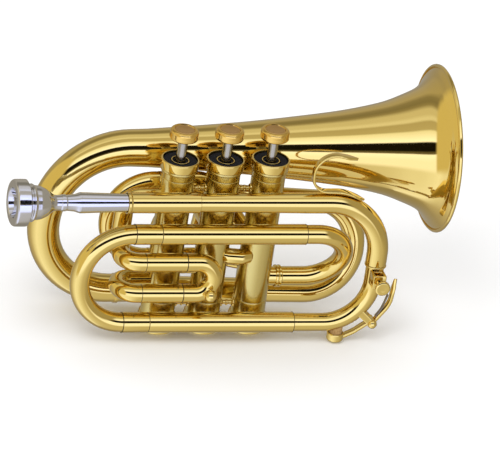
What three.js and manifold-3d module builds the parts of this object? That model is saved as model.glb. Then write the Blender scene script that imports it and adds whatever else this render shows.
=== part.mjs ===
// A pocket trumpet: wrapped brass tubing round a block of three piston valves.
// Millimetres, +Z up along the valves, +X towards the bell, -Y the side that faces the viewer.
// The origin is the middle of the flat underside of the second valve's bottom cap.

import * as THREE from 'three';
import { mergeVertices } from 'three/addons/utils/BufferGeometryUtils.js';
import Module from 'manifold-3d';

const wasm = await Module();
wasm.setup();

// Fits and facets
const gap = 0.3;
const cutOver = 3;
const tubeSides = 10;
const turnedSides = 16;
const passageSides = 8;
const bellSides = 28;
const cutSides = 24;
const bendSag = 0.45;

// Valve block
const valvePitch = 27;
const casingDiameter = 19.5;
const casingWall = 1;
const collarDiameter = 21.2;
const collarHeight = 1.5;
const capDiameter = 22;
const capChamfer = 0.7;
const bottomCapHeight = 8.6;
const bottomCapFloor = 1.8;
const bottomCapWaist = 0.4;
const topCapTop = 109;
const topCapHeight = 5.4;
const topCapRoof = 2;
const topCapRim = 0.9;
const topCapRecess = 2.6;
const topCapEyeDiameter = 9.4;
const topCapEyeWall = 0.5;
const topCapLip = 1.2;
const feltThickness = 1.2;

// Moving valve parts
const stroke = 13;
const pistonTop = 102.6;
const pistonBottom = 24;
const pistonWall = 0.7;
const pistonPocket = 3;
const passageBore = 6.2;
const passageWall = 0.45;
const passageBend = 1.8;
const stemDiameter = 5.8;
const stemFootDiameter = 11;
const stemFootHeight = 0.9;
const buttonDiameter = 16.7;
const buttonHeight = 4.7;
const buttonLift = 13.6;
const buttonDish = 0.4;
const buttonSocket = 2.2;
const springCoilDiameter = 13;
const springWire = 1.1;
const springTurns = 5;
const springSteps = 8;
const springSides = 5;

// Heights and places of the tubing
const frontY = -17;
const leadZ = 89.3;
const slideHighZ = 68.9;
const slideLowZ = 12.1;
const entryZ = 33.1;
const bellZ = 100.6;

// Mouthpiece and receiver
const rimX = -128.8;
const mouthpieceLength = 91.3;
const mouthpieceRimDiameter = 27.2;
const receiverStart = -60.7;
const receiverEnd = -17.8;
const receiverDiameter = 12;
const receiverBore = 11.2;

// Leadpipe and outer bow
const mouthpieceStandOff = 1.5;
const leadpipeStart = rimX + mouthpieceLength + mouthpieceStandOff;
const leadpipeSmall = 10.6;
const leadpipeLarge = 12.2;
const leadpipeWall = 0.5;
const outerBowX = 93.3;
const upperBendRadius = 33;
const lowerBendRadius = 27;
const bowJointZ = 50.4;
const bowJointLap = 5.6;
const bowRingDiameter = 12.6;
const bowRingWidth = 1.2;

// Tuning slide
const slideSleeveDiameter = 11.9;
const slideSleeveBore = 11.1;
const slideLegDiameter = 10.5;
const slideWall = 0.5;
const slideSleeveLeft = -37.5;
const slideSleeveRight = 48.6;
const slideLap = 7;
const crookDiameter = 11.4;
const crookBendX = -53.3;
const ferruleLength = 15.7;
const tuningLegEnd = 15;

// Entry bow into the third valve
const entryBowDiameter = 11;
const entryBowX = 75.8;
const entryRingX = 41.2;
const entryRingDiameter = 13;
const entryRingWidth = 3.5;

// Crossovers between the valves
const crossoverDiameter = 9.6;
const crossoverWall = 0.6;
const crossoverLowZ = 40;
const crossoverHighZ = 49;
const knuckleY = -7.3;
const knuckleTurn = THREE.MathUtils.degToRad(35);
const knuckleBendRadius = 6;

// First valve slide, with its knob, in front
const firstY = -17.7;
const firstHighZ = 51.1;
const firstLowZ = 31.2;
const firstSleeveEnd = -20.3;
const firstCurlX = -55.5;
const firstRiserX = -56;
const firstPortHighZ = 84;
const riserBendRadius = 9;
const smallSleeveDiameter = 11;
const smallSleeveBore = 10.2;
const smallLegDiameter = 9.6;
const smallLegWall = 0.5;
const smallCrookDiameter = 10.7;
const crookWall = 0.95;
const crookLap = 4;
const firstBendX = -12.6;
const firstLegLength = 20;
const knobDiameter = 7.2;
const knobNeckDiameter = 3.4;
const knobNeckLength = 3;

// Second valve slide, behind
const secondHighZ = 60.4;
const secondLowZ = 48.2;
const secondSleeveDiameter = 10.4;
const secondSleeveBore = 9.6;
const secondSleeveEndY = 26;
const secondBendY = 30;
const secondLegDiameter = 9;
const secondCrookDiameter = 9.8;
const secondLegLength = 14;

// Third valve slide, behind
const thirdY = 16;
const thirdHighZ = 86.1;
const thirdLowZ = 36.7;
const thirdBendX = -34.5;
const thirdSleeveLeft = -32.7;
const thirdDropX = -4;
const thirdDropRadius = 13;
const thirdPortBend = 5.9;
const thirdLegLength = 20;
const thirdPortHighZ = 49;

// Bell, its bow and its tail
const bellRimX = 135.5;
const bellRimDiameter = 96.8;
const bellNeckShare = 0.327;
const bellStandOff = 2.9232;
const bellY = casingDiameter / 2 + bellStandOff + bellNeckShare * bellRimDiameter / 2;
const bellStartX = -37;
const bellWall = 0.8;
const bellBeadDiameter = 2.6;
const bellBowX = -93.6;
const bellBowUpperRadius = 45.5;
const bellBowLowerRadius = 42;
const bellBowEndX = -45;
const tailY = 26;
const tailRightY = 20;
const tailZ = 12.1;
const tailBowX = 92.5;
const tailTopY = 27.5;
const tailTopZ = 65.6;
const tailRiseX = -8;
const tailRiseZ = 73;
const tailRiseRadius = 12;
const tailPortZ = 50;
const tailPortRadius = 12;
const bowStartDiameter = 22.2;
const bowEndDiameter = 16.3;
const tailEndDiameter = 11;
const tailWall = 0.6;

// Finger hook
const hookWidth = 6;
const hookThickness = 1.8;
const hookLeftX = 48;
const hookTopZ = 120;
const hookTipX = 73;
const hookTipZ = 117.4;
const hookCrestX = 61.5;
const hookTipBend = 8;
const hookTopBend = 11.8;
const hookFootBend = 9.5;
const hookFootZ = 96.9;
const hookFootX = 68;
const hookFootEndX = 80.5;
const hookFootEndZ = 91.2;
const hookFootRadius = 24;

// Lyre holder on the outer bow
const lyreWidth = 7.8;
const lyreHeight = 8.4;
const lyreDepth = 7;
const lyreHole = 4.8;
const lyreZ = 48;
const lyreScrewDiameter = 3.2;
const lyreHeadDiameter = 8.8;
const lyreHeadThickness = 2.6;
const lyreHeadY = -37;

// Water key
const keyPivotX = 95.4;
const keyPivotZ = 13.1;
const keyPinDiameter = 2;
const keyPinHead = 5.4;
const keyBarrelDiameter = 4.8;
const keyBarrelLength = 6.4;
const keyEarThickness = 1.5;
const keyEarDiameter = 4.6;
const keyEarWaist = 4;
const keyCupX = 75.7;
const keyCupDiameter = 9.9;
const keyCupBottom = 0.8;
const keyCupHeight = 5;
const keyCupWall = 0.9;
const keyArmWidth = 4.6;
const keyArmThickness = 2.2;
const keyFingerX = 106.8;
const keyFingerZ = 40;
const keyArmBend = 16;
const keyArmBowX = 105.4;
const keyArmBowZ = 24;
const keySpringWidth = 2.6;
const keySpringThickness = 0.6;
const keySpringLength = 15;

// Braces
const braceDiameter = 4.6;
const slimBraceDiameter = 3.2;
const casingBraceHighZ = 90;
const casingBraceLowZ = 16;
const bellBraceZ = 97;

// Finishes, from the photograph
function finish(color, roughness, metalness) {
  return new THREE.MeshStandardMaterial({ color, roughness, metalness });
}
const lacqueredBrass = finish(0xd8ab3f, 0.16, 1);
const silverPlate = finish(0xc9c8cc, 0.15, 1);
const stainlessSteel = finish(0xb9b6b0, 0.22, 1);
const bronze = finish(0xb98a4a, 0.3, 1);
const blackFelt = finish(0x101014, 0.95, 0);
const cork = finish(0xb68a5a, 0.9, 0);
const springSteel = finish(0x6a6660, 0.35, 1);
const pistonPlating = finish(0xbfbcb4, 0.25, 1);

const trumpet = new THREE.Group();
const yAxis = new THREE.Vector3(0, 1, 0);

function at(x, y, z) {
  return new THREE.Vector3(x, y, z);
}

function place(name, geometry, material, parent = trumpet) {
  const mesh = new THREE.Mesh(geometry, material);
  mesh.name = name;
  parent.add(mesh);
  return mesh;
}

// Boolean work: solids go in as bare positions with shared corners and come back as geometry
function solidFrom(geometry) {
  const bare = geometry.clone();
  bare.deleteAttribute('normal');
  bare.deleteAttribute('uv');
  const welded = mergeVertices(bare, gap / 1000);
  const vertProperties = new Float32Array(welded.attributes.position.array);
  const triVerts = new Uint32Array(welded.index.array);
  return new wasm.Manifold(new wasm.Mesh({ numProp: 3, vertProperties, triVerts }));
}

function geometryFrom(solid) {
  const { vertProperties, triVerts } = solid.getMesh();
  const geometry = new THREE.BufferGeometry();
  geometry.setAttribute('position', new THREE.BufferAttribute(vertProperties, 3));
  geometry.setIndex(new THREE.BufferAttribute(triVerts, 1));
  geometry.computeVertexNormals();
  return geometry;
}

function cut(geometry, ...tools) {
  let solid = solidFrom(geometry);
  for (const tool of tools) {
    solid = solid.subtract(solidFrom(tool));
  }
  return geometryFrom(solid);
}

function join(...geometries) {
  let solid = solidFrom(geometries[0]);
  for (const geometry of geometries.slice(1)) {
    solid = solid.add(solidFrom(geometry));
  }
  return geometryFrom(solid);
}

// A bent centre line: straight runs between corners, each corner rounded by its bend radius.
// It keeps its own stations, so a straight run costs one step and a bend a few.
class Route extends THREE.Curve {
  constructor(corners, bends = []) {
    super();
    this.stations = [];
    this.travelled = 0;
    const last = corners.length - 1;
    const heading = (i) => corners[i + 1].clone().sub(corners[i]).normalize();
    this.addStation(corners[0], heading(0));
    for (let i = 1; i < last; i += 1) {
      this.addBend(corners[i], heading(i - 1), heading(i), bends[i - 1]);
    }
    this.addStation(corners[last], heading(last - 1));
  }

  addStation(point, tangent) {
    const previous = this.stations.at(-1);
    if (previous) {
      const step = previous.point.distanceTo(point);
      if (step < gap / 100) {
        return;
      }
      this.travelled += step;
    }
    this.stations.push({ point: point.clone(), tangent: tangent.clone(), travelled: this.travelled });
  }

  addBend(corner, before, after, radius) {
    const turn = before.angleTo(after);
    const setback = radius * Math.tan(turn / 2);
    const start = corner.clone().addScaledVector(before, -setback);
    const inward = after.clone().addScaledVector(before, -after.dot(before)).normalize();
    const centre = start.clone().addScaledVector(inward, radius);
    const stepAngle = 2 * Math.acos(Math.max(0, 1 - bendSag / Math.max(radius, bendSag)));
    const steps = Math.max(1, Math.ceil(turn / stepAngle));
    for (let i = 0; i <= steps; i += 1) {
      const angle = turn * i / steps;
      const point = centre.clone();
      point.addScaledVector(inward, -radius * Math.cos(angle));
      point.addScaledVector(before, radius * Math.sin(angle));
      const tangent = before.clone().multiplyScalar(Math.cos(angle));
      tangent.addScaledVector(inward, Math.sin(angle));
      this.addStation(point, tangent);
    }
  }

  get steps() {
    return this.stations.length - 1;
  }

  station(share) {
    return this.stations[Math.round(share * this.steps)];
  }

  getPointAt(share, target = new THREE.Vector3()) {
    return target.copy(this.station(share).point);
  }

  getPoint(share, target) {
    return this.getPointAt(share, target);
  }

  getTangentAt(share, target = new THREE.Vector3()) {
    return target.copy(this.station(share).tangent);
  }
}

// A round section as an even polygon, with a bore where the inner radius isn't zero
function circle(radius, sides) {
  return Array.from({ length: sides }, (_, i) => {
    const angle = 2 * Math.PI * i / sides;
    return new THREE.Vector2(radius * Math.cos(angle), radius * Math.sin(angle));
  });
}

function sweep(route, outerRadius, innerRadius, sides) {
  const shape = new THREE.Shape(circle(outerRadius, sides));
  if (innerRadius > 0) {
    shape.holes.push(new THREE.Path(circle(innerRadius, sides)));
  }
  return new THREE.ExtrudeGeometry(shape, { steps: route.steps, extrudePath: route });
}

function pipe(route, diameter, wall, sides = tubeSides) {
  return sweep(route, diameter / 2, diameter / 2 - wall, sides);
}

function rod(route, diameter, sides = tubeSides) {
  return sweep(route, diameter / 2, 0, sides);
}

// A tapered tube: turned straight, one ring for each station, then bent along the route
function taperedPipe(route, diameterAt, wall, sides = tubeSides) {
  const { stations, steps } = route;
  const whole = route.travelled;
  const outer = stations.map((s, i) => new THREE.Vector2(diameterAt(s.travelled / whole) / 2, i));
  const inner = outer.map((p) => new THREE.Vector2(p.x - wall, p.y)).reverse();
  const geometry = new THREE.LatheGeometry([...outer, ...inner, outer[0].clone()], sides);
  const frames = route.computeFrenetFrames(steps, false);
  const position = geometry.attributes.position;
  const vertex = new THREE.Vector3();
  for (let i = 0; i < position.count; i += 1) {
    vertex.fromBufferAttribute(position, i);
    const index = Math.round(vertex.y);
    const side = frames.normals[index].clone().cross(stations[index].tangent);
    const bent = stations[index].point.clone();
    bent.addScaledVector(frames.normals[index], vertex.x).addScaledVector(side, vertex.z);
    position.setXYZ(i, bent.x, bent.y, bent.z);
  }
  geometry.computeVertexNormals();
  return geometry;
}

// Turned pieces: the profile is [radius, height] pairs, closed on itself or on the axis
function turned(profile, sides = turnedSides) {
  const points = profile.map(([radius, height]) => new THREE.Vector2(radius, height));
  const onAxis = profile[0][0] === 0 && profile.at(-1)[0] === 0;
  if (!onAxis) {
    points.push(points[0].clone());
  }
  return new THREE.LatheGeometry(points, sides);
}

function turnedUp(profile, sides) {
  return turned(profile, sides).rotateX(Math.PI / 2);
}

function turnedAlongX(profile, sides) {
  return turned(profile, sides).rotateZ(-Math.PI / 2);
}

function acrossY(profile, x, z, sides = tubeSides) {
  return turned(profile, sides).translate(x, 0, z);
}

function tubeProfile(outerRadius, innerRadius, start, end) {
  return [[outerRadius, start], [outerRadius, end], [innerRadius, end], [innerRadius, start]];
}

function rodProfile(radius, start, end) {
  return [[0, start], [radius, start], [radius, end], [0, end]];
}

// A straight tube along X at its place in the front or back row
function sleeve(outerDiameter, boreDiameter, startX, endX, y, z) {
  const profile = tubeProfile(outerDiameter / 2, boreDiameter / 2, startX, endX);
  return turnedAlongX(profile, tubeSides).translate(0, y, z);
}

const casingRadius = casingDiameter / 2;
const casingBoreRadius = casingRadius - casingWall;
const pistonRadius = casingBoreRadius - gap;
const valveX = (valve) => (valve - 2) * valvePitch;

// The space that a casing takes, with the fit round it, for seating a tube's end on it
function casingSpace(valve) {
  const space = turnedUp(rodProfile(casingRadius + gap, 0, topCapTop), cutSides);
  return space.translate(valveX(valve), 0, 0);
}

function seatOnCasing(geometry, ...valves) {
  return cut(geometry, ...valves.map(casingSpace));
}

// Ports: where each tube enters its valve, as a direction round the valve and a height.
// In and out serve the main bore; loopIn and loopOut serve that valve's slide.
const right = 0;
const back = Math.PI / 2;
const left = Math.PI;
const ports = {
  1: {
    in: [right, crossoverLowZ],
    out: [back, tailPortZ],
    loopIn: [left, firstLowZ],
    loopOut: [left, firstPortHighZ],
  },
  2: {
    in: [-knuckleTurn, crossoverHighZ],
    out: [left, crossoverLowZ],
    loopIn: [back, secondHighZ],
    loopOut: [back, secondLowZ],
  },
  3: {
    in: [right, entryZ],
    out: [left + knuckleTurn, crossoverHighZ],
    loopIn: [back, thirdLowZ],
    loopOut: [back, thirdPortHighZ],
  },
};

function portPoint([direction, height], radius, lift = 0) {
  return at(radius * Math.cos(direction), radius * Math.sin(direction), height + lift);
}

// Each piston has three passages that pass one another inside it without meeting.
// A passage turns at one middle point: [x share, y share] of its reach, and its share of the climb.
const passageReach = pistonRadius - passageBore / 2 - 2 * passageWall;
const passageShares = {
  1: { rest: [0.52, 0.85, 0.59], pressedIn: [-0.1, -1, 0.05], pressedOut: [0.94, 0.34, 0.18] },
  2: { rest: [0.61, -0.19, 0.53], pressedIn: [0.01, -0.79, 0.59], pressedOut: [-0.6, 0.8, 0.57] },
  3: { rest: [-0.54, -0.72, 0.05], pressedIn: [0.86, 0.51, 0.35], pressedOut: [0.46, 0.19, 0.82] },
};

function passageRoute(from, to, lift, reach, [acrossShare, backShare, climbShare]) {
  const start = portPoint(from, reach, lift);
  const end = portPoint(to, reach, lift);
  const middle = at(
    acrossShare * passageReach, backShare * passageReach,
    THREE.MathUtils.lerp(start.z, end.z, climbShare));
  const enter = portPoint(from, passageReach, lift);
  const leave = portPoint(to, passageReach, lift);
  return new Route([start, enter, middle, leave, end], [passageBend, passageBend, passageBend]);
}

// Leadpipe and the upper half of the outer bow: one tube that widens after the receiver
const leadRoute = new Route(
  [at(leadpipeStart, frontY, leadZ), at(receiverEnd, frontY, leadZ), at(slideSleeveRight, frontY, leadZ),
    at(outerBowX, frontY, leadZ), at(outerBowX, frontY, bowJointZ)],
  [0, 0, upperBendRadius],
);

function leadShare(x) {
  return (x - leadpipeStart) / leadRoute.travelled;
}

function leadpipeDiameter(share) {
  const from = leadShare(receiverEnd);
  const to = leadShare(slideSleeveRight);
  const grown = THREE.MathUtils.clamp((share - from) / (to - from), 0, 1);
  return THREE.MathUtils.lerp(leadpipeSmall, leadpipeLarge, grown);
}

function tapered(start, end, easeShare) {
  return (share) => start + (end - start) * share ** easeShare;
}
const bowEaseShare = 0.85;
const tailEaseShare = 0.6;

const tailStart = at(bellBowX, tailY, tailZ);
const tailCorner = at(tailBowX, tailRightY, tailZ);

function tailPoint(x) {
  const share = (x - bellBowX) / (tailBowX - bellBowX);
  return tailStart.clone().lerp(tailCorner, share);
}

// The bell's tail leaves the bow, turns up at the right and comes back behind the valves to the first
function makeTailRoute() {
  const top = at(tailBowX, tailTopY, tailTopZ);
  const radius = tailCorner.distanceTo(top) / 2;
  return new Route(
    [tailPoint(bellBowEndX + gap), tailPoint(valveX(2)), tailCorner, top,
      at(tailRiseX, tailTopY, tailRiseZ), at(valveX(1), tailTopY, tailPortZ), at(valveX(1), 0, tailPortZ)],
    [0, radius, radius, tailRiseRadius, tailPortRadius],
  );
}
const tailRoute = makeTailRoute();
const tailDiameter = tapered(bowEndDiameter, tailEndDiameter, tailEaseShare);

function tailShare(x) {
  return tailPoint(x).distanceTo(tailPoint(bellBowEndX)) / tailRoute.travelled;
}

// What is soldered on a casing: bars to the next casing, and studs that carry the tubes beside it
function casingStuds(valve) {
  const x = valveX(valve);
  const studs = [];
  if (valve < 3) {
    for (const z of [casingBraceHighZ, casingBraceLowZ]) {
      const bar = turnedAlongX(rodProfile(slimBraceDiameter / 2, casingBoreRadius, valvePitch), tubeSides);
      studs.push(seatOnCasing(bar.translate(x, 0, z), valve + 1));
    }
  }
  if (valve !== 2) {
    const leadFit = valve === 1 ? receiverDiameter : leadpipeDiameter(leadShare(x));
    const fronts = [[leadZ, leadFit], [slideHighZ, slideSleeveDiameter], [slideLowZ, slideSleeveDiameter]];
    for (const [z, diameter] of fronts) {
      const stud = acrossY(rodProfile(braceDiameter / 2, frontY, -casingBoreRadius), x, z);
      studs.push(cut(stud, tubeSpace(diameter, z)));
    }
    const stud = acrossY(rodProfile(slimBraceDiameter / 2, casingBoreRadius, tailPoint(x).y), x, tailZ);
    const tail = new Route([tailPoint(x - braceDiameter), tailPoint(x + braceDiameter)]);
    studs.push(cut(stud, rod(tail, tailDiameter(tailShare(x)) + 2 * gap, cutSides)));
  }
  return studs;
}

// The space of a front tube along X, with its fit
function tubeSpace(diameter, z) {
  return turnedAlongX(rodProfile(diameter / 2 + gap, slideSleeveLeft, slideSleeveRight), cutSides)
    .translate(0, frontY, z);
}

function casing(valve) {
  const floor = bottomCapFloor + gap;
  const top = topCapTop - topCapHeight + topCapRoof / 2 - gap;
  const collar = collarDiameter / 2;
  const lowCollar = bottomCapHeight + gap;
  const highCollar = topCapTop - topCapHeight - gap;
  const shell = turnedUp([
    [casingRadius, floor],
    [casingRadius, lowCollar], [collar, lowCollar],
    [collar, lowCollar + collarHeight], [casingRadius, lowCollar + collarHeight],
    [casingRadius, highCollar - collarHeight], [collar, highCollar - collarHeight],
    [collar, highCollar], [casingRadius, highCollar],
    [casingRadius, top], [casingBoreRadius, top],
    [casingBoreRadius, floor],
  ]);
  const bores = Object.values(ports[valve]).map((port) => {
    const route = new Route([portPoint(port, pistonRadius / 2), portPoint(port, casingRadius + cutOver)]);
    return rod(route, passageBore, passageSides);
  });
  const studs = casingStuds(valve).map((stud) => stud.translate(-valveX(valve), 0, 0));
  const hollow = turnedUp(rodProfile(casingBoreRadius, 0, topCapTop));
  return cut(join(shell, ...studs), hollow, ...bores);
}

// A piston: a rod with its three passages and a pocket below for the spring
function piston(valve) {
  const { in: inlet, out: outlet, loopIn, loopOut } = ports[valve];
  const { rest, pressedIn, pressedOut } = passageShares[valve];
  const reach = pistonRadius + cutOver;
  const passages = [
    passageRoute(inlet, outlet, 0, reach, rest),
    passageRoute(inlet, loopIn, stroke, reach, pressedIn),
    passageRoute(loopOut, outlet, stroke, reach, pressedOut),
  ];
  const pocket = pistonRadius - pistonWall;
  const body = turnedUp([
    [0, pistonBottom + pistonPocket], [pocket, pistonBottom + pistonPocket], [pocket, pistonBottom],
    [pistonRadius, pistonBottom], [pistonRadius, pistonTop], [0, pistonTop],
  ]);
  return cut(body, ...passages.map((route) => rod(route, passageBore, passageSides)));
}

function topCap() {
  const skirt = topCapTop - topCapHeight;
  const roof = skirt + topCapRoof / 2;
  const outer = capDiameter / 2;
  const inner = casingRadius + gap;
  const rim = outer - topCapRim;
  const recess = topCapTop - topCapRecess;
  const eye = topCapEyeDiameter / 2;
  const eyeTop = topCapTop - topCapRim;
  const lip = stemDiameter / 2 + gap;
  return turnedUp([
    [lip, roof], [inner, roof], [inner, skirt], [outer, skirt],
    [outer, topCapTop - capChamfer / 2], [outer - capChamfer / 2, topCapTop],
    [rim, topCapTop], [rim, recess], [eye + topCapEyeWall, recess],
    [eye + topCapEyeWall, eyeTop], [eye, eyeTop], [eye, roof + topCapLip], [lip, roof + topCapLip],
  ]);
}

// The black felt that lies in the cap's recess and stops the button
function capFelt() {
  const recess = topCapTop - topCapRecess + gap;
  const eye = topCapEyeDiameter / 2;
  return turnedUp(tubeProfile(
    capDiameter / 2 - topCapRim - gap, eye + topCapEyeWall + gap, recess, recess + feltThickness));
}

function bottomCap() {
  const outer = capDiameter / 2;
  const waist = outer - bottomCapWaist;
  const inner = casingRadius + gap;
  const band = bottomCapHeight / 4;
  return turnedUp([
    [0, 0], [outer - capChamfer, 0], [outer, capChamfer], [outer, band],
    [waist, band + bottomCapWaist], [waist, 3 * band - bottomCapWaist], [outer, 3 * band],
    [outer, bottomCapHeight], [inner, bottomCapHeight], [inner, bottomCapFloor],
    [0, bottomCapFloor],
  ]);
}

const buttonBottom = topCapTop + buttonLift;

function stem() {
  const radius = stemDiameter / 2;
  const foot = pistonTop + gap;
  return turnedUp([
    [0, foot], [stemFootDiameter / 2, foot], [stemFootDiameter / 2, foot + stemFootHeight],
    [radius, foot + stemFootHeight], [radius, buttonBottom + buttonSocket - gap],
    [0, buttonBottom + buttonSocket - gap],
  ]);
}

function fingerButton() {
  const radius = buttonDiameter / 2;
  const top = buttonBottom + buttonHeight;
  const bore = stemDiameter / 2 + gap;
  const shoulder = buttonHeight / 4;
  return turnedUp([
    [0, buttonBottom + buttonSocket], [bore, buttonBottom + buttonSocket], [bore, buttonBottom],
    [radius - shoulder, buttonBottom], [radius - shoulder / 3, buttonBottom + shoulder / 2],
    [radius, buttonBottom + shoulder], [radius, top - 1.5 * shoulder],
    [radius - shoulder / 2, top - shoulder / 2], [radius - 1.4 * shoulder, top],
    [radius - 2.2 * shoulder, top], [radius / 2, top - buttonDish * 0.8], [0, top - buttonDish],
  ]);
}

// The return spring: a helix of round wire between the bottom cap and the piston
class Helix extends THREE.Curve {
  get steps() {
    return springSteps * springTurns;
  }

  getPoint(share, target = new THREE.Vector3()) {
    const angle = 2 * Math.PI * springTurns * share;
    const low = bottomCapFloor + gap + springWire / 2;
    const high = pistonBottom + pistonPocket - gap - springWire / 2;
    const radius = springCoilDiameter / 2;
    return target.set(radius * Math.cos(angle), radius * Math.sin(angle), low + (high - low) * share);
  }
}

function valveSpring() {
  return rod(new Helix(), springWire, springSides);
}

function springClearance() {
  const helix = new Helix();
  const points = helix.getPoints(helix.steps);
  let least = Infinity;
  points.forEach((point, i) => {
    for (const other of points.slice(i + springSteps - 2)) {
      least = Math.min(least, point.distanceTo(other) - springWire);
    }
  });
  return least;
}
console.log(`least gap between the turns of a valve spring: ${springClearance().toFixed(2)} mm`);

for (const valve of [1, 2, 3]) {
  const group = new THREE.Group();
  group.position.x = valveX(valve);
  trumpet.add(group);
  place(`valve_casing_${valve}`, casing(valve), lacqueredBrass, group);
  place(`top_cap_${valve}`, topCap(), lacqueredBrass, group);
  place(`cap_felt_${valve}`, capFelt(), blackFelt, group);
  place(`bottom_cap_${valve}`, bottomCap(), lacqueredBrass, group);
  place(`piston_${valve}`, piston(valve), pistonPlating, group);
  place(`stem_${valve}`, stem(), stainlessSteel, group);
  place(`finger_button_${valve}`, fingerButton(), bronze, group);
  place(`valve_spring_${valve}`, valveSpring(), springSteel, group);
}

// The mouthpiece: [share of the rim radius, share of the length] down the outside and back inside
const mouthpieceOutsideShares = [
  [0.61, 0.012], [0.67, 0.002], [0.78, 0], [0.92, 0.005], [1, 0.022], [1, 0.084],
  [0.93, 0.1], [0.76, 0.104], [0.76, 0.112], [0.8, 0.12], [0.8, 0.13], [0.76, 0.138],
  [0.71, 0.18], [0.58, 0.222], [0.42, 0.252], [0.335, 0.272], [0.33, 0.31],
  [0.357, 0.315], [0.357, 0.345], [0.34, 0.352], [0.365, 0.41], [0.435, 0.43],
  [0.44, 0.47], [0.386, 0.745], [0.35, 1],
];
const mouthpieceInsideShares = [
  [0.3, 1], [0.14, 0.34], [0.136, 0.2], [0.3, 0.15], [0.5, 0.095], [0.6, 0.04],
];

function mouthpiece() {
  const radius = mouthpieceRimDiameter / 2;
  const profile = [...mouthpieceOutsideShares, ...mouthpieceInsideShares];
  const sized = profile.map(([across, along]) => [across * radius, rimX + along * mouthpieceLength]);
  return turnedAlongX(sized).translate(0, frontY, leadZ);
}
place('mouthpiece', mouthpiece(), silverPlate);

function mouthpieceReceiver() {
  const outer = receiverDiameter / 2;
  const bore = receiverBore / 2;
  const bead = outer + leadpipeWall;
  return turnedAlongX([
    [bore, receiverStart], [bead, receiverStart], [bead, receiverStart + collarHeight],
    [outer, receiverStart + 2 * collarHeight], [outer, receiverEnd], [bore, receiverEnd],
  ]).translate(0, frontY, leadZ);
}
place('mouthpiece_receiver', mouthpieceReceiver(), lacqueredBrass);

place('leadpipe', taperedPipe(leadRoute, leadpipeDiameter, leadpipeWall, tubeSides), lacqueredBrass);

// Lower half of the outer bow, with the ring at its joint; it runs on into the lower slide sleeve
function lowerLeadBow() {
  const route = new Route(
    [at(outerBowX, frontY, bowJointZ + bowJointLap), at(outerBowX, frontY, slideLowZ),
      at(slideSleeveRight - slideLap, frontY, slideLowZ)],
    [lowerBendRadius],
  );
  const ring = turnedUp(tubeProfile(
    bowRingDiameter / 2, slideLegDiameter / 2 - slideWall / 2,
    bowJointZ - gap - bowRingWidth, bowJointZ - gap));
  return join(pipe(route, slideLegDiameter, slideWall), ring.translate(outerBowX, frontY, 0));
}
place('lower_lead_bow', lowerLeadBow(), lacqueredBrass);

// Tuning slide: two fixed sleeves, and the crook with its legs that pulls out to the left
const ferruleStart = slideSleeveLeft - ferruleLength;
for (const [level, z] of [['upper', slideHighZ], ['lower', slideLowZ]]) {
  const outer = sleeve(
    slideSleeveDiameter, slideSleeveBore, slideSleeveLeft, slideSleeveRight, frontY, z);
  place(`tuning_sleeve_${level}`, outer, lacqueredBrass);
  const leg = sleeve(
    slideLegDiameter, slideLegDiameter - 2 * slideWall,
    ferruleStart + crookLap + gap, tuningLegEnd, frontY, z);
  place(`tuning_leg_${level}`, leg, lacqueredBrass);
}

function uBend(start, end, reach, startX) {
  const radius = start.distanceTo(end) / 2;
  const far = (point) => point.clone().setX(reach);
  return new Route(
    [start.clone().setX(startX), far(start), far(end), end.clone().setX(startX)],
    [radius, radius],
  );
}

// The crook ends in two thick ferrules, which stop against the sleeves
function tuningCrook() {
  const high = at(0, frontY, slideHighZ);
  const low = at(0, frontY, slideLowZ);
  const reach = crookBendX - (slideHighZ - slideLowZ) / 2;
  const bend = pipe(uBend(high, low, reach, ferruleStart + crookLap), crookDiameter, slideWall);
  const ferrules = [slideHighZ, slideLowZ].map((z) => sleeve(
    slideSleeveDiameter, slideSleeveBore, ferruleStart, slideSleeveLeft - gap, frontY, z));
  return join(bend, ...ferrules);
}
place('tuning_crook', tuningCrook(), lacqueredBrass);

// Entry bow: from the upper slide sleeve round and back to the third valve, with its ring
function entryBow() {
  const high = at(0, frontY, slideHighZ);
  const low = at(0, 0, entryZ);
  const radius = high.distanceTo(low) / 2;
  const route = new Route(
    [at(slideSleeveRight + gap, frontY, slideHighZ), at(entryBowX, frontY, slideHighZ),
      at(entryBowX, 0, entryZ), at(valveX(3), 0, entryZ)],
    [radius, radius],
  );
  const ring = sleeve(
    entryRingDiameter, entryBowDiameter - slideWall,
    entryRingX - entryRingWidth / 2, entryRingX + entryRingWidth / 2, 0, entryZ);
  return seatOnCasing(join(pipe(route, entryBowDiameter, slideWall), ring), 3);
}
place('entry_bow', entryBow(), lacqueredBrass);

function crossoverTwoThree() {
  const reach = -knuckleY / Math.sin(knuckleTurn);
  const side = reach * Math.cos(knuckleTurn);
  const start = portPoint(ports[3].out, casingBoreRadius);
  const end = portPoint(ports[2].in, casingBoreRadius);
  start.x += valveX(3);
  end.x += valveX(2);
  const route = new Route(
    [start, at(valveX(3) - side, knuckleY, crossoverHighZ), at(valveX(2) + side, knuckleY, crossoverHighZ),
      end],
    [knuckleBendRadius, knuckleBendRadius],
  );
  return seatOnCasing(pipe(route, crossoverDiameter, crossoverWall), 2, 3);
}
place('crossover_two_three', crossoverTwoThree(), lacqueredBrass);

function crossoverOneTwo() {
  const route = new Route([
    at(valveX(1) + casingBoreRadius, 0, crossoverLowZ), at(valveX(2) - casingBoreRadius, 0, crossoverLowZ),
  ]);
  return seatOnCasing(pipe(route, crossoverDiameter, crossoverWall), 1, 2);
}
place('crossover_one_two', crossoverOneTwo(), lacqueredBrass);

// First valve slide: each sleeve curls round at the left to its own port on the first valve
const smallSleeveWall = (smallSleeveDiameter - smallSleeveBore) / 2;
const curlRadius = -firstY / 2;

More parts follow.
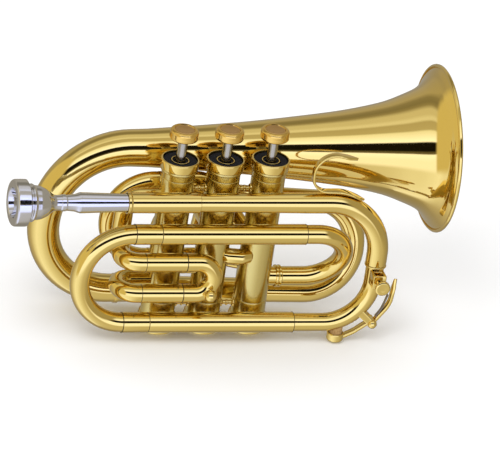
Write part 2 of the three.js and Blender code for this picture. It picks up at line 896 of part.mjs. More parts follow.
function firstSleeveLower() {
  const route = new Route(
    [at(firstSleeveEnd, firstY, firstLowZ), at(firstCurlX, firstY, firstLowZ),
      at(firstCurlX, 0, firstLowZ), at(valveX(1), 0, firstLowZ)],
    [curlRadius, curlRadius],
  );
  return seatOnCasing(pipe(route, smallSleeveDiameter, smallSleeveWall), 1);
}
place('first_sleeve_lower', firstSleeveLower(), lacqueredBrass);

function firstSleeveUpper() {
  const route = new Route(
    [at(firstSleeveEnd, firstY, firstHighZ), at(firstRiserX, firstY, firstHighZ),
      at(firstRiserX, 0, firstHighZ), at(firstRiserX, 0, firstPortHighZ),
      at(valveX(1), 0, firstPortHighZ)],
    [curlRadius, curlRadius, riserBendRadius],
  );
  return seatOnCasing(pipe(route, smallSleeveDiameter, smallSleeveWall), 1);
}
place('first_sleeve_upper', firstSleeveUpper(), lacqueredBrass);

// A slide crook: a U of tube with a thinner leg let into each end, made as one piece
function slideCrook(route, diameter, legs, legDiameter) {
  const parts = legs.map((leg) => pipe(leg, legDiameter, smallLegWall));
  return join(pipe(route, diameter, crookWall), ...parts);
}

const firstCrookStart = firstSleeveEnd + gap;
const firstBendRadius = (firstHighZ - firstLowZ) / 2;

function firstSlide() {
  const high = at(0, firstY, firstHighZ);
  const low = at(0, firstY, firstLowZ);
  const route = uBend(high, low, firstBendX + firstBendRadius, firstCrookStart);
  const legs = [firstHighZ, firstLowZ].map((z) => new Route([
    at(firstCrookStart + crookLap, firstY, z), at(firstCrookStart - firstLegLength, firstY, z),
  ]));
  return slideCrook(route, smallCrookDiameter, legs, smallLegDiameter);
}
place('first_slide', firstSlide(), lacqueredBrass);

// The knob stands on the lower right of the crook and points down to the right
function firstSlideKnob() {
  const direction = at(1, 0, -1).normalize();
  const centre = at(firstBendX, firstY, (firstHighZ + firstLowZ) / 2);
  const start = centre.clone().addScaledVector(direction, firstBendRadius);
  const surface = smallCrookDiameter / 2;
  const forward = yAxis.clone().negate();
  const root = start.clone().addScaledVector(forward, surface - knobNeckLength);
  const ballCentre = start.clone().addScaledVector(forward, surface + knobNeckLength / 2 + knobDiameter / 4);
  const neck = rod(new Route([root, ballCentre]), knobNeckDiameter);
  const ball = new THREE.SphereGeometry(knobDiameter / 2, tubeSides, tubeSides / 2 + 2);
  ball.translate(ballCentre.x, ballCentre.y, ballCentre.z);
  const route = uBend(
    at(0, firstY, firstHighZ), at(0, firstY, firstLowZ), firstBendX + firstBendRadius, firstCrookStart);
  return cut(join(neck, ball), rod(route, smallCrookDiameter + 2 * gap));
}
place('first_slide_knob', firstSlideKnob(), lacqueredBrass);

// Second valve slide: short, straight back from the middle valve
for (const [level, z] of [['upper', secondHighZ], ['lower', secondLowZ]]) {
  const tube = acrossY(
    tubeProfile(secondSleeveDiameter / 2, secondSleeveBore / 2, casingBoreRadius, secondSleeveEndY),
    valveX(2), z, tubeSides);
  place(`second_sleeve_${level}`, seatOnCasing(tube, 2), lacqueredBrass);
}

function secondSlide() {
  const radius = (secondHighZ - secondLowZ) / 2;
  const start = secondSleeveEndY + gap;
  const reach = secondBendY + radius;
  const x = valveX(2);
  const route = new Route(
    [at(x, start, secondHighZ), at(x, reach, secondHighZ), at(x, reach, secondLowZ),
      at(x, start, secondLowZ)],
    [radius, radius],
  );
  const legs = [secondHighZ, secondLowZ].map((z) => new Route([
    at(x, start + crookLap - gap, z), at(x, start - secondLegLength, z),
  ]));
  return slideCrook(route, secondCrookDiameter, legs, secondLegDiameter);
}
place('second_slide', secondSlide(), lacqueredBrass);

// Third valve slide: its crook stands upright behind the first valve and pulls out to the left
function thirdSleeveUpper() {
  const route = new Route(
    [at(thirdSleeveLeft, thirdY, thirdHighZ), at(thirdDropX, thirdY, thirdHighZ),
      at(valveX(3), thirdY, thirdPortHighZ), at(valveX(3), 0, thirdPortHighZ)],
    [thirdDropRadius, thirdPortBend],
  );
  return seatOnCasing(pipe(route, smallSleeveDiameter, smallSleeveWall), 3);
}
place('third_sleeve_upper', thirdSleeveUpper(), lacqueredBrass);

function thirdSleeveLower() {
  const route = new Route(
    [at(thirdSleeveLeft, thirdY, thirdLowZ), at(valveX(3), thirdY, thirdLowZ),
      at(valveX(3), 0, thirdLowZ)],
    [thirdPortBend],
  );
  return seatOnCasing(pipe(route, smallSleeveDiameter, smallSleeveWall), 3);
}
place('third_sleeve_lower', thirdSleeveLower(), lacqueredBrass);

function thirdSlide() {
  const radius = (thirdHighZ - thirdLowZ) / 2;
  const high = at(0, thirdY, thirdHighZ);
  const low = at(0, thirdY, thirdLowZ);
  const start = thirdSleeveLeft - gap;
  const route = uBend(high, low, thirdBendX - radius, start);
  const legs = [thirdHighZ, thirdLowZ].map((z) => new Route([
    at(start - crookLap, thirdY, z), at(start + thirdLegLength, thirdY, z),
  ]));
  return slideCrook(route, smallCrookDiameter, legs, smallLegDiameter);
}
place('third_slide', thirdSlide(), lacqueredBrass);

// The bell: [share of the length, share of the rim radius] along the outside of the flare
const bellFlareShares = [
  [0, 0.2335], [0.178, 0.271], [0.348, 0.318], [0.521, 0.383], [0.649, 0.439], [0.737, 0.492],
  [0.816, 0.555], [0.8765, 0.631], [0.937, 0.727], [0.971, 0.835], [0.9885, 0.928], [1, 1],
];

function bell() {
  const length = bellRimX - bellStartX;
  const radius = bellRimDiameter / 2;
  const outer = bellFlareShares.map(([along, across]) => [across * radius, bellStartX + along * length]);
  outer[0][0] = bowStartDiameter / 2;
  const bead = bellBeadDiameter / 2;
  const rim = [
    [radius - bead, bellRimX + bead / 2], [radius - 2 * bead, bellRimX],
  ];
  const inner = outer.slice(0, -1).map(([across, along]) => [across - bellWall, along]).reverse();
  const rolled = [...outer.slice(0, -1), [radius, bellRimX - bead], ...rim];
  return turnedAlongX([...rolled, ...inner], bellSides).translate(0, bellY, bellZ);
}
place('bell', bell(), lacqueredBrass);

function bellSpace() {
  const length = bellRimX - bellStartX;
  const radius = bellRimDiameter / 2;
  const outer = bellFlareShares.map(
    ([along, across]) => [across * radius + gap, bellStartX + along * length]);
  outer[0][0] = Math.max(outer[0][0], bowStartDiameter / 2 + gap);
  return turnedAlongX([[0, bellStartX], ...outer, [0, bellRimX]], bellSides).translate(0, bellY, bellZ);
}

// The bell's bow at the left, and the tail that runs under and behind the valves to the first one
function bellBow() {
  const route = new Route(
    [at(bellStartX - gap, bellY, bellZ), at(bellBowX, bellY, bellZ), tailStart, tailPoint(bellBowEndX)],
    [bellBowUpperRadius, bellBowLowerRadius],
  );
  return taperedPipe(
    route, tapered(bowStartDiameter, bowEndDiameter, bowEaseShare), tailWall, turnedSides);
}
place('bell_bow', bellBow(), lacqueredBrass);

function bellTail() {
  return seatOnCasing(taperedPipe(tailRoute, tailDiameter, tailWall, tubeSides), 1);
}
place('bell_tail', bellTail(), lacqueredBrass);

// A strip's centre line lies in an upright plane; its width stays square to that plane
class FlatRoute extends Route {
  computeFrenetFrames(steps) {
    const tangents = [];
    for (let i = 0; i <= steps; i += 1) {
      tangents.push(this.getTangentAt(i / steps));
    }
    const normals = tangents.map(() => yAxis.clone());
    const binormals = tangents.map((tangent) => tangent.clone().cross(yAxis));
    return { tangents, normals, binormals };
  }
}

function strip(route, width, thickness) {
  const shape = new THREE.Shape();
  const [w, t] = [width / 2, thickness / 2];
  const corner = Math.min(w, t) / 2;
  shape.moveTo(-w + corner, -t).lineTo(w - corner, -t).lineTo(w, -t + corner).lineTo(w, t - corner);
  shape.lineTo(w - corner, t).lineTo(-w + corner, t).lineTo(-w, t - corner).lineTo(-w, -t + corner);
  shape.closePath();
  return new THREE.ExtrudeGeometry(shape, { steps: route.steps, extrudePath: route });
}

// The finger hook: a flat strip bent to a hook, its foot saddled on the outer bow
function fingerHook() {
  const route = new FlatRoute(
    [at(hookTipX, frontY, hookTipZ), at(hookCrestX, frontY, hookTopZ), at(hookLeftX, frontY, hookTopZ),
      at(hookLeftX, frontY, hookFootZ), at(hookFootX, frontY, hookFootZ),
      at(hookFootEndX, frontY, hookFootEndZ)],
    [hookTipBend, hookTopBend, hookFootBend, hookFootRadius],
  );
  const fitted = (share) => leadpipeDiameter(share) + 2 * gap;
  const tube = taperedPipe(leadRoute, fitted, leadpipeSmall / 2, tubeSides);
  return cut(strip(route, hookWidth, hookThickness), tube);
}
place('finger_hook', fingerHook(), lacqueredBrass);

// Lyre holder: a square socket on the front of the outer bow, with its thumb screw
const lyreFrontY = frontY - slideLegDiameter / 2 - lyreDepth;

function box(width, depth, height, x, y, z) {
  return new THREE.BoxGeometry(width, depth, height).translate(x, y, z);
}

function lyreHolder() {
  const depth = frontY - lyreFrontY;
  const block = box(lyreWidth, depth, lyreHeight, outerBowX, lyreFrontY + depth / 2, lyreZ - lyreHeight / 2);
  const holeY = lyreFrontY + lyreDepth / 2;
  const socket = box(lyreHole, lyreHole, lyreHeight + cutOver, outerBowX, holeY, lyreZ - lyreHeight / 2);
  const screw = turned(rodProfile(lyreScrewDiameter / 2 + gap, lyreFrontY - cutOver, holeY), tubeSides);
  screw.translate(outerBowX, 0, lyreZ - lyreHeight / 2);
  const route = new Route(
    [at(outerBowX, frontY, bowJointZ + bowJointLap), at(outerBowX, frontY, slideLowZ),
      at(slideSleeveRight, frontY, slideLowZ)],
    [lowerBendRadius],
  );
  return cut(block, socket, screw, rod(route, slideLegDiameter + 2 * gap));
}
place('lyre_holder', lyreHolder(), lacqueredBrass);

function lyreScrew() {
  const shank = lyreScrewDiameter / 2;
  const head = lyreHeadDiameter / 2;
  const tip = lyreFrontY + lyreDepth / 2 - lyreHole / 2;
  return turned([
    [0, lyreHeadY], [head - capChamfer, lyreHeadY], [head, lyreHeadY + capChamfer],
    [head, lyreHeadY + lyreHeadThickness], [shank, lyreHeadY + lyreHeadThickness],
    [shank, tip], [0, tip],
  ], tubeSides).translate(outerBowX, 0, lyreZ - lyreHeight / 2);
}
place('lyre_screw', lyreScrew(), lacqueredBrass);

// Water key: saddle on the bow's lower corner, pin, sprung lever with its cup, and the cork
const keyBendCentre = at(outerBowX - lowerBendRadius, frontY, slideLowZ + lowerBendRadius);

function lowerBowSpace() {
  const route = new Route(
    [at(outerBowX, frontY, bowJointZ), at(outerBowX, frontY, slideLowZ),
      at(slideSleeveRight, frontY, slideLowZ)],
    [lowerBendRadius],
  );
  return rod(route, slideLegDiameter + 2 * gap);
}

function waterKeySaddle() {
  const outward = at(keyPivotX, frontY, keyPivotZ).sub(keyBendCentre).normalize();
  const tubeCentre = keyBendCentre.clone().addScaledVector(outward, lowerBendRadius);
  const pivot = at(keyPivotX, frontY, keyPivotZ);
  const offset = keyBarrelLength / 2 + gap;
  const ears = [-1, 1].map((side) => {
    const shift = side * (offset + keyEarThickness / 2);
    const foot = tubeCentre.clone().add(at(0, shift, 0));
    const tip = pivot.clone().add(at(0, shift, 0));
    const bar = strip(new FlatRoute([foot, tip]), keyEarThickness, keyEarWaist);
    const eye = acrossY(
      rodProfile(keyEarDiameter / 2, tip.y - keyEarThickness / 2, tip.y + keyEarThickness / 2),
      keyPivotX, keyPivotZ);
    return join(bar, eye);
  });
  const footWidth = 2 * (offset + keyEarThickness);
  const shoe = strip(
    new FlatRoute([tubeCentre, tubeCentre.clone().addScaledVector(outward, slideLegDiameter / 2 + keyEarThickness)]),
    footWidth, keyEarWaist);
  const pinSpace = acrossY(
    rodProfile(keyPinDiameter / 2 + gap, frontY - footWidth, frontY + footWidth), keyPivotX, keyPivotZ);
  return cut(join(...ears, shoe), lowerBowSpace(), pinSpace);
}
place('water_key_saddle', waterKeySaddle(), lacqueredBrass);

function waterKeyPin() {
  const radius = keyPinDiameter / 2;
  const ear = keyBarrelLength / 2 + keyEarThickness + 2 * gap;
  const head = keyPinHead / 2;
  return acrossY([
    [0, frontY - ear - head], [head * 0.6, frontY - ear - head * 0.85], [head, frontY - ear - head * 0.35],
    [head * 0.9, frontY - ear], [radius, frontY - ear], [radius, frontY + ear], [0, frontY + ear],
  ], keyPivotX, keyPivotZ);
}
place('water_key_pin', waterKeyPin(), lacqueredBrass);

const keyCupTop = keyCupBottom + keyCupHeight;

function waterKeyLever() {
  const half = keyBarrelLength / 2;
  const barrel = acrossY(rodProfile(keyBarrelDiameter / 2, frontY - half, frontY + half), keyPivotX, keyPivotZ);
  const bore = acrossY(
    rodProfile(keyPinDiameter / 2 + gap, frontY - half - cutOver, frontY + half + cutOver),
    keyPivotX, keyPivotZ);
  const finger = strip(
    new FlatRoute(
      [at(keyPivotX, frontY, keyPivotZ - keyBarrelDiameter / 4), at(keyArmBowX, frontY, keyArmBowZ),
        at(keyFingerX, frontY, keyFingerZ)],
      [keyArmBend],
    ),
    keyArmWidth, keyArmThickness);
  const pad = acrossY(
    rodProfile(keyArmThickness * 0.7, frontY - keyArmWidth / 2, frontY + keyArmWidth / 2),
    keyFingerX, keyFingerZ);
  const cupArm = strip(
    new FlatRoute([at(keyPivotX, frontY, keyPivotZ), at(keyCupX, frontY, keyCupBottom + keyArmThickness / 2)]),
    keyArmWidth, keyArmThickness);
  const cup = turnedUp([
    [0, keyCupBottom], [keyCupDiameter / 2 - keyCupWall, keyCupBottom],
    [keyCupDiameter / 2, keyCupBottom + keyCupWall], [keyCupDiameter / 2, keyCupTop],
    [keyCupDiameter / 2 - keyCupWall, keyCupTop],
    [keyCupDiameter / 2 - keyCupWall, keyCupTop - keyCupHeight / 2], [0, keyCupTop - keyCupHeight / 2],
  ]).translate(keyCupX, frontY, 0);
  const hollow = turnedUp(rodProfile(
    keyCupDiameter / 2 - keyCupWall, keyCupTop - keyCupHeight / 2, keyCupTop + cutOver));
  hollow.translate(keyCupX, frontY, 0);
  return cut(join(barrel, finger, pad, cupArm, cup), bore, hollow, lowerBowSpace());
}
place('water_key_lever', waterKeyLever(), lacqueredBrass);

function waterKeyCork() {
  const radius = keyCupDiameter / 2 - keyCupWall - gap;
  const floor = keyCupTop - keyCupHeight / 2 + gap;
  const stack = turnedUp(rodProfile(radius, floor, slideLowZ)).translate(keyCupX, frontY, 0);
  return cut(stack, lowerBowSpace());
}
place('water_key_cork', waterKeyCork(), cork);

// Leaf spring on the back of the finger arm
function waterKeySpring() {
  const arm = at(keyArmBowX - keyPivotX, 0, keyArmBowZ - keyPivotZ + keyBarrelDiameter / 4).normalize();
  const inward = arm.clone().cross(yAxis).normalize();
  const base = at(keyPivotX, frontY, keyPivotZ - keyBarrelDiameter / 4);
  const lift = keyArmThickness / 2 + gap + keySpringThickness / 2;
  const side = inward.x < 0 ? inward : inward.negate();
  const start = base.clone().addScaledVector(arm, keyBarrelDiameter).addScaledVector(side, lift);
  const end = start.clone().addScaledVector(arm, keySpringLength / 2);
  return strip(new FlatRoute([start, end]), keySpringWidth, keySpringThickness);
}
place('water_key_spring', waterKeySpring(), springSteel);

// Braces behind the outer two valves, up to the bell
for (const valve of [1, 3]) {
  const stud = acrossY(rodProfile(braceDiameter / 2, casingBoreRadius, bellY), valveX(valve), bellBraceZ);
  place(`bell_brace_${valve}`, seatOnCasing(cut(stud, bellSpace()), valve), lacqueredBrass);
}

export default trumpet;
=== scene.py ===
"""A pocket trumpet in lacquered brass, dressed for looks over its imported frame.

The frame is X towards the bell, -Y towards the viewer of the photograph and Z up along the valves.
Sizes in the classes are millimetres but where a class says so; meshes are written in metres.
"""
import logging
import math
from collections.abc import Callable, Iterable, Sequence
from dataclasses import dataclass, field
from enum import Enum

import bmesh
import bpy
from mathutils import Matrix, Vector


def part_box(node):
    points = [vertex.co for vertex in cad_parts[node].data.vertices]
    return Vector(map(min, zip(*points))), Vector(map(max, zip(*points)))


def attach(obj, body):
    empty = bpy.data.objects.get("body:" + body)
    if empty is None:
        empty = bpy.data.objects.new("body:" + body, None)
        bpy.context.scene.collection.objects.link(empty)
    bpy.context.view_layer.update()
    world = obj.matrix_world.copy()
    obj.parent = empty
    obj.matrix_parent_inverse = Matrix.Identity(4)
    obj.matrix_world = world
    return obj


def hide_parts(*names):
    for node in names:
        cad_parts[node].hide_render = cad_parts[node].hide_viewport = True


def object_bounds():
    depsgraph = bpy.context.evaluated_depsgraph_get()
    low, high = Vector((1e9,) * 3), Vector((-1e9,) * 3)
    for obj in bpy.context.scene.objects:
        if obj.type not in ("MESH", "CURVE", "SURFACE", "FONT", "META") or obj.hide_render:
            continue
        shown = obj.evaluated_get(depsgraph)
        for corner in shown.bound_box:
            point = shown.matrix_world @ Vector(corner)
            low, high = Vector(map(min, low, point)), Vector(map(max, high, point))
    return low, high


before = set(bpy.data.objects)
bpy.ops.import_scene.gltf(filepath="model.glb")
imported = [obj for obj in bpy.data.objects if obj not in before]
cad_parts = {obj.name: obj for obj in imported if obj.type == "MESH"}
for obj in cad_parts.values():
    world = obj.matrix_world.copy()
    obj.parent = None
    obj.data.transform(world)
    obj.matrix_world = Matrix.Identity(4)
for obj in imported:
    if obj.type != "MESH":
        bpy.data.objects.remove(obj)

CAD_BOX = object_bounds()
MM = 0.001
HORN = "horn"
SHARP_DEGREES = 32.0
STRIP_SHARP_DEGREES = 40.0
TINY = 1e-4

log = logging.getLogger("pocket_trumpet")

Profile = list[tuple[float, float]]
Colour = tuple[float, float, float]
Feed = bpy.types.NodeSocket | float | str | tuple[float, ...]
Size = Callable[[float], float]
Steps = tuple[tuple[float, float], ...]


def clamped(value: float) -> float:
    """A value held between zero and one."""
    return min(1.0, max(0.0, value))


class Axis(Enum):
    """The axis that a turned piece is turned about, as its along and across directions."""

    X = (Vector((1, 0, 0)), Vector((0, 1, 0)), Vector((0, 0, 1)))
    Y = (Vector((0, 1, 0)), Vector((0, 0, 1)), Vector((1, 0, 0)))
    Z = (Vector((0, 0, 1)), Vector((1, 0, 0)), Vector((0, 1, 0)))


@dataclass(frozen=True)
class Place:
    """Where the CAD frame holds one node, in millimetres."""

    low: Vector
    high: Vector

    @classmethod
    def of(cls, node: str) -> "Place":
        """Reads a node's box from the frame."""
        low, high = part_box(node)
        return cls(low / MM, high / MM)

    @property
    def middle(self) -> Vector:
        """The centre of the box."""
        return (self.low + self.high) / 2


@dataclass(frozen=True)
class Station:
    """One point of a centre line, its heading, and the length travelled to it."""

    point: Vector
    heading: Vector
    travelled: float


class Route:
    """A bent centre line: straight runs between corners, each corner rounded by its radius."""

    BEND_STEP = math.radians(4.5)
    STRAIGHT_STEP = 6.0
    SHORTEST_STEP = 0.5

    def __init__(self, corners: Sequence[tuple[float, float, float]], bends: Sequence[float] = ()) -> None:
        """Lays stations along the line.

        Args:
            corners: The ends and corners of the line.
            bends: The bend radius at each corner between the ends.
        """
        points = [Vector(corner) for corner in corners]
        self.stations: list[Station] = []
        headings = [(b - a).normalized() for a, b in zip(points, points[1:])]
        self._add(points[0], headings[0])
        for corner, before, after, radius in zip(points[1:], headings, headings[1:], bends):
            self._bend(corner, before, after, radius)
        self._straight(points[-1], headings[-1])

    @property
    def length(self) -> float:
        """The length of the whole line."""
        return self.stations[-1].travelled

    def _add(self, point: Vector, heading: Vector) -> None:
        """Adds a station, in place of the last one where they nearly meet."""
        travelled = 0.0
        if self.stations:
            last = self.stations[-1]
            step = (point - last.point).length
            travelled = last.travelled + step
            if step < self.SHORTEST_STEP and len(self.stations) > 1:
                self.stations.pop()
        self.stations.append(Station(point.copy(), heading.copy(), travelled))

    def _straight(self, end: Vector, heading: Vector) -> None:
        """Adds even stations up to an end point."""
        start = self.stations[-1].point.copy()
        count = max(1, math.ceil((end - start).length / self.STRAIGHT_STEP))
        for i in range(1, count + 1):
            self._add(start.lerp(end, i / count), heading)

    def _bend(self, corner: Vector, before: Vector, after: Vector, radius: float) -> None:
        """Adds the run to a corner and the arc round it."""
        turn = before.angle(after, 0.0)
        if turn < TINY or radius <= 0:
            self._straight(corner, before)
            return
        start = corner - before * radius * math.tan(turn / 2)
        inward = (after - before * after.dot(before)).normalized()
        centre = start + inward * radius
        self._straight(start, before)
        count = max(2, math.ceil(turn / self.BEND_STEP))
        for i in range(1, count + 1):
            angle = turn * i / count
            point = centre - inward * radius * math.cos(angle) + before * radius * math.sin(angle)
            self._add(point, before * math.cos(angle) + inward * math.sin(angle))

    @classmethod
    def u_bend(cls, first: Vector, second: Vector, along: Vector, straight: float) -> "Route":
        """A U from one leg to the other.

        Args:
            first: The end of the first leg.
            second: The end of the second leg.
            along: The direction from the ends towards the bend.
            straight: The length of each leg before the bend.

        Returns:
            The route from first to second.
        """
        radius = (first - second).length / 2
        reach = along * (straight + radius)
        return cls([first, first + reach, second + reach, second], [radius, radius])


def object_from(name: str, data: bpy.types.ID) -> bpy.types.Object:
    """Links a new object for a mesh, a lamp or a camera to the scene."""
    piece = bpy.data.objects.new(name, data)
    bpy.context.scene.collection.objects.link(piece)
    return piece


def baked(piece: bpy.types.Object) -> bpy.types.Object:
    """Turns an object with live modifiers into a plain mesh of the same name.

    Args:
        piece: The object whose modifiers are applied.

    Returns:
        The same object with the result as its own mesh.
    """
    bpy.context.view_layer.update()
    graph = bpy.context.evaluated_depsgraph_get()
    mesh = bpy.data.meshes.new_from_object(piece.evaluated_get(graph), depsgraph=graph)
    piece.modifiers.clear()
    piece.data = mesh
    mesh.name = piece.name
    return piece


def face_outwards(mesh: bpy.types.Mesh) -> None:
    """Turns every face of a closed mesh outwards."""
    work = bmesh.new()
    work.from_mesh(mesh)
    if work.calc_volume(signed=True) < 0:
        bmesh.ops.reverse_faces(work, faces=work.faces)
    work.to_mesh(mesh)
    work.free()


def smooth(mesh: bpy.types.Mesh, sharp_degrees: float = SHARP_DEGREES) -> None:
    """Shades a mesh smooth, with edges sharper than an angle kept crisp."""
    mesh.shade_smooth()
    mesh.set_sharp_from_angle(angle=math.radians(sharp_degrees))


def object_of(name: str, work: bmesh.types.BMesh, sharp_degrees: float | None = None) -> bpy.types.Object:
    """Makes a linked object of finished mesh work, and frees the work.

    Args:
        name: The object's name.
        work: The finished mesh work.
        sharp_degrees: The angle above which edges stay crisp, or None for flat faces as they are.

    Returns:
        The new object.
    """
    mesh = bpy.data.meshes.new(name)
    work.to_mesh(mesh)
    work.free()
    if sharp_degrees is not None:
        face_outwards(mesh)
        smooth(mesh, sharp_degrees)
    return object_from(name, mesh)


def bridge(work: bmesh.types.BMesh, low: list[bmesh.types.BMVert], high: list[bmesh.types.BMVert]) -> None:
    """Fills the band between two rings, either of which may be a single point."""
    sides = max(len(low), len(high))
    if sides == 1:
        return
    for i in range(sides):
        j = (i + 1) % sides
        if len(low) == 1:
            work.faces.new((low[0], high[j], high[i]))
        elif len(high) == 1:
            work.faces.new((low[i], low[j], high[0]))
        else:
            work.faces.new((low[i], low[j], high[j], high[i]))


def block(name: str, middle: Sequence[float], size: Sequence[float]) -> bpy.types.Object:
    """Makes a plain block about a point."""
    work = bmesh.new()
    bmesh.ops.create_cube(work, size=1.0)
    for vertex in work.verts:
        vertex.co = Vector([m + c * s for m, c, s in zip(middle, vertex.co, size)]) * MM
    return object_of(name, work)


def eased(points: Sequence[tuple[float, float]], steps: int = 6) -> Profile:
    """A smooth outline through a few chosen points.

    Args:
        points: The points that the outline passes through.
        steps: How many short runs each stretch is cut into.

    Returns:
        The finer outline.
    """
    ends = [points[0], *points, points[-1]]
    fine: Profile = []
    for a, b, c, d in zip(ends, ends[1:], ends[2:], ends[3:]):
        for i in range(steps):
            t = i / steps
            fine.append(tuple(
                0.5 * (2 * q + (r - p) * t + (2 * p - 5 * q + 4 * r - s) * t * t
                       + (3 * q - 3 * r + s - p) * t ** 3)
                for p, q, r, s in zip(a, b, c, d)))
    fine.append(points[-1])
    return fine


def softened(profile: Profile, radius: float = 0.25, arc: int = 3) -> Profile:
    """Rounds the corners of a turned outline, so that edges catch the light.

    Args:
        profile: Radius and height pairs.
        radius: How far the rounding reaches along each side of a corner.
        arc: How many runs each rounding has.

    Returns:
        The outline with its corners rounded.
    """
    closed = not (profile[0][0] == 0 and profile[-1][0] == 0)
    count = len(profile)
    rounded: Profile = []
    for i, here in enumerate(profile):
        if here[0] == 0 or (not closed and i in (0, count - 1)):
            rounded.append(here)
            continue
        corner = Vector(here)
        before = Vector(profile[i - 1]) - corner
        after = Vector(profile[(i + 1) % count]) - corner
        reach = min(radius, before.length * 0.4, after.length * 0.4)
        if reach < 0.02 or before.angle(after) > math.radians(165):
            rounded.append(here)
            continue
        start = corner + before.normalized() * reach
        end = corner + after.normalized() * reach
        for k in range(arc + 1):
            t = k / arc
            point = start * (1 - t) ** 2 + corner * 2 * t * (1 - t) + end * t * t
            rounded.append((point.x, point.y))
    return rounded


def turned(name: str, profile: Profile, centre: Sequence[float], axis: Axis = Axis.Z,
           sides: int = 64) -> bpy.types.Object:
    """Turns an outline into a closed piece.

    Args:
        name: The piece's name.
        profile: Radius and height pairs in millimetres, closed on itself or on the axis.
        centre: The point from which heights are counted.
        axis: The axis that it is turned about.
        sides: How many faces go round it.

    Returns:
        The new object.
    """
    along, across, up = axis.value
    origin = Vector(centre)
    work = bmesh.new()
    rings: list[list[bmesh.types.BMVert]] = []
    for radius, height in profile:
        base = origin + along * height
        if radius < TINY:
            rings.append([work.verts.new(base * MM)])
            continue
        angles = (2 * math.pi * i / sides for i in range(sides))
        rings.append([
            work.verts.new((base + across * radius * math.cos(a) + up * radius * math.sin(a)) * MM)
            for a in angles])
    on_axis = len(rings[0]) == 1 and len(rings[-1]) == 1
    pairs = zip(rings, rings[1:] if on_axis else rings[1:] + rings[:1])
    for low, high in pairs:
        bridge(work, low, high)
    return object_of(name, work, SHARP_DEGREES)


def stepped(radius: float, height: float, steps: Steps) -> Profile:
    """Points of an outline, each given by its steps out from a radius and up from a height."""
    return [(radius + out, height + up) for out, up in steps]


def ring_profile(outer: float, inner: float, start: float, end: float) -> Profile:
    """The outline of a ring between two diameters and two heights."""
    return [(outer / 2, start), (outer / 2, end), (inner / 2, end), (inner / 2, start)]


class Socket(Enum):
    """The kinds of group socket that the node trees here use."""

    FLOAT = "NodeSocketFloat"
    INT = "NodeSocketInt"
    MATERIAL = "NodeSocketMaterial"
    GEOMETRY = "NodeSocketGeometry"


def socket(tree: bpy.types.NodeTree, name: str, kind: Socket, output: bool = False,
           default: float | int | None = None) -> None:
    """Adds a named socket to a node group's interface."""
    item = tree.interface.new_socket(
        name=name, in_out="OUTPUT" if output else "INPUT", socket_type=kind.value)
    if default is not None:
        item.default_value = default


class Wiring:
    """Adds nodes to a tree, with their inputs set or linked."""

    def __init__(self, tree: bpy.types.NodeTree) -> None:
        """Keeps the tree that the nodes go into."""
        self.tree = tree

    def feed(self, node: bpy.types.Node, inputs: dict[str | int, Feed]) -> None:
        """Sets a node's own inputs, or links them where a socket is given."""
        for name, value in inputs.items():
            if isinstance(value, bpy.types.NodeSocket):
                self.tree.links.new(value, node.inputs[name])
            else:
                node.inputs[name].default_value = value

    def add(self, kind: str, inputs: dict[str | int, Feed] | None = None,
            **settings: object) -> bpy.types.Node:
        """Adds one node.

        Args:
            kind: The node's type.
            inputs: A value or a socket for each input, by its name or number.
            settings: The node's own settings, made before its inputs are fed.

        Returns:
            The new node.
        """
        node = self.tree.nodes.new(kind)
        for name, value in settings.items():
            setattr(node, name, value)
        self.feed(node, inputs or {})
        return node

    def maths(self, operation: str, first: Feed, second: Feed) -> bpy.types.NodeSocket:
        """The result of one operation on two sockets or numbers."""
        return self.add("ShaderNodeMath", {0: first, 1: second}, operation=operation).outputs[0]

    def spread(self, value: Feed, low: float, high: float, start: Feed = 0.0, end: Feed = 1.0,
               kind: str = "LINEAR") -> bpy.types.NodeSocket:
        """Maps the values from low to high on to those from start to end."""
        ends = {"Value": value, "From Min": low, "From Max": high, "To Min": start, "To Max": end}
        return self.add("ShaderNodeMapRange", ends, interpolation_type=kind).outputs["Result"]

    def mixed(self, share: Feed, first: Feed, second: Feed) -> bpy.types.NodeSocket:
        """The first colour where the share is zero and the second where it is one."""
        colours = {"Factor": share, "A": first, "B": second}
        return self.add("ShaderNodeMix", colours, data_type="RGBA").outputs["Result"]


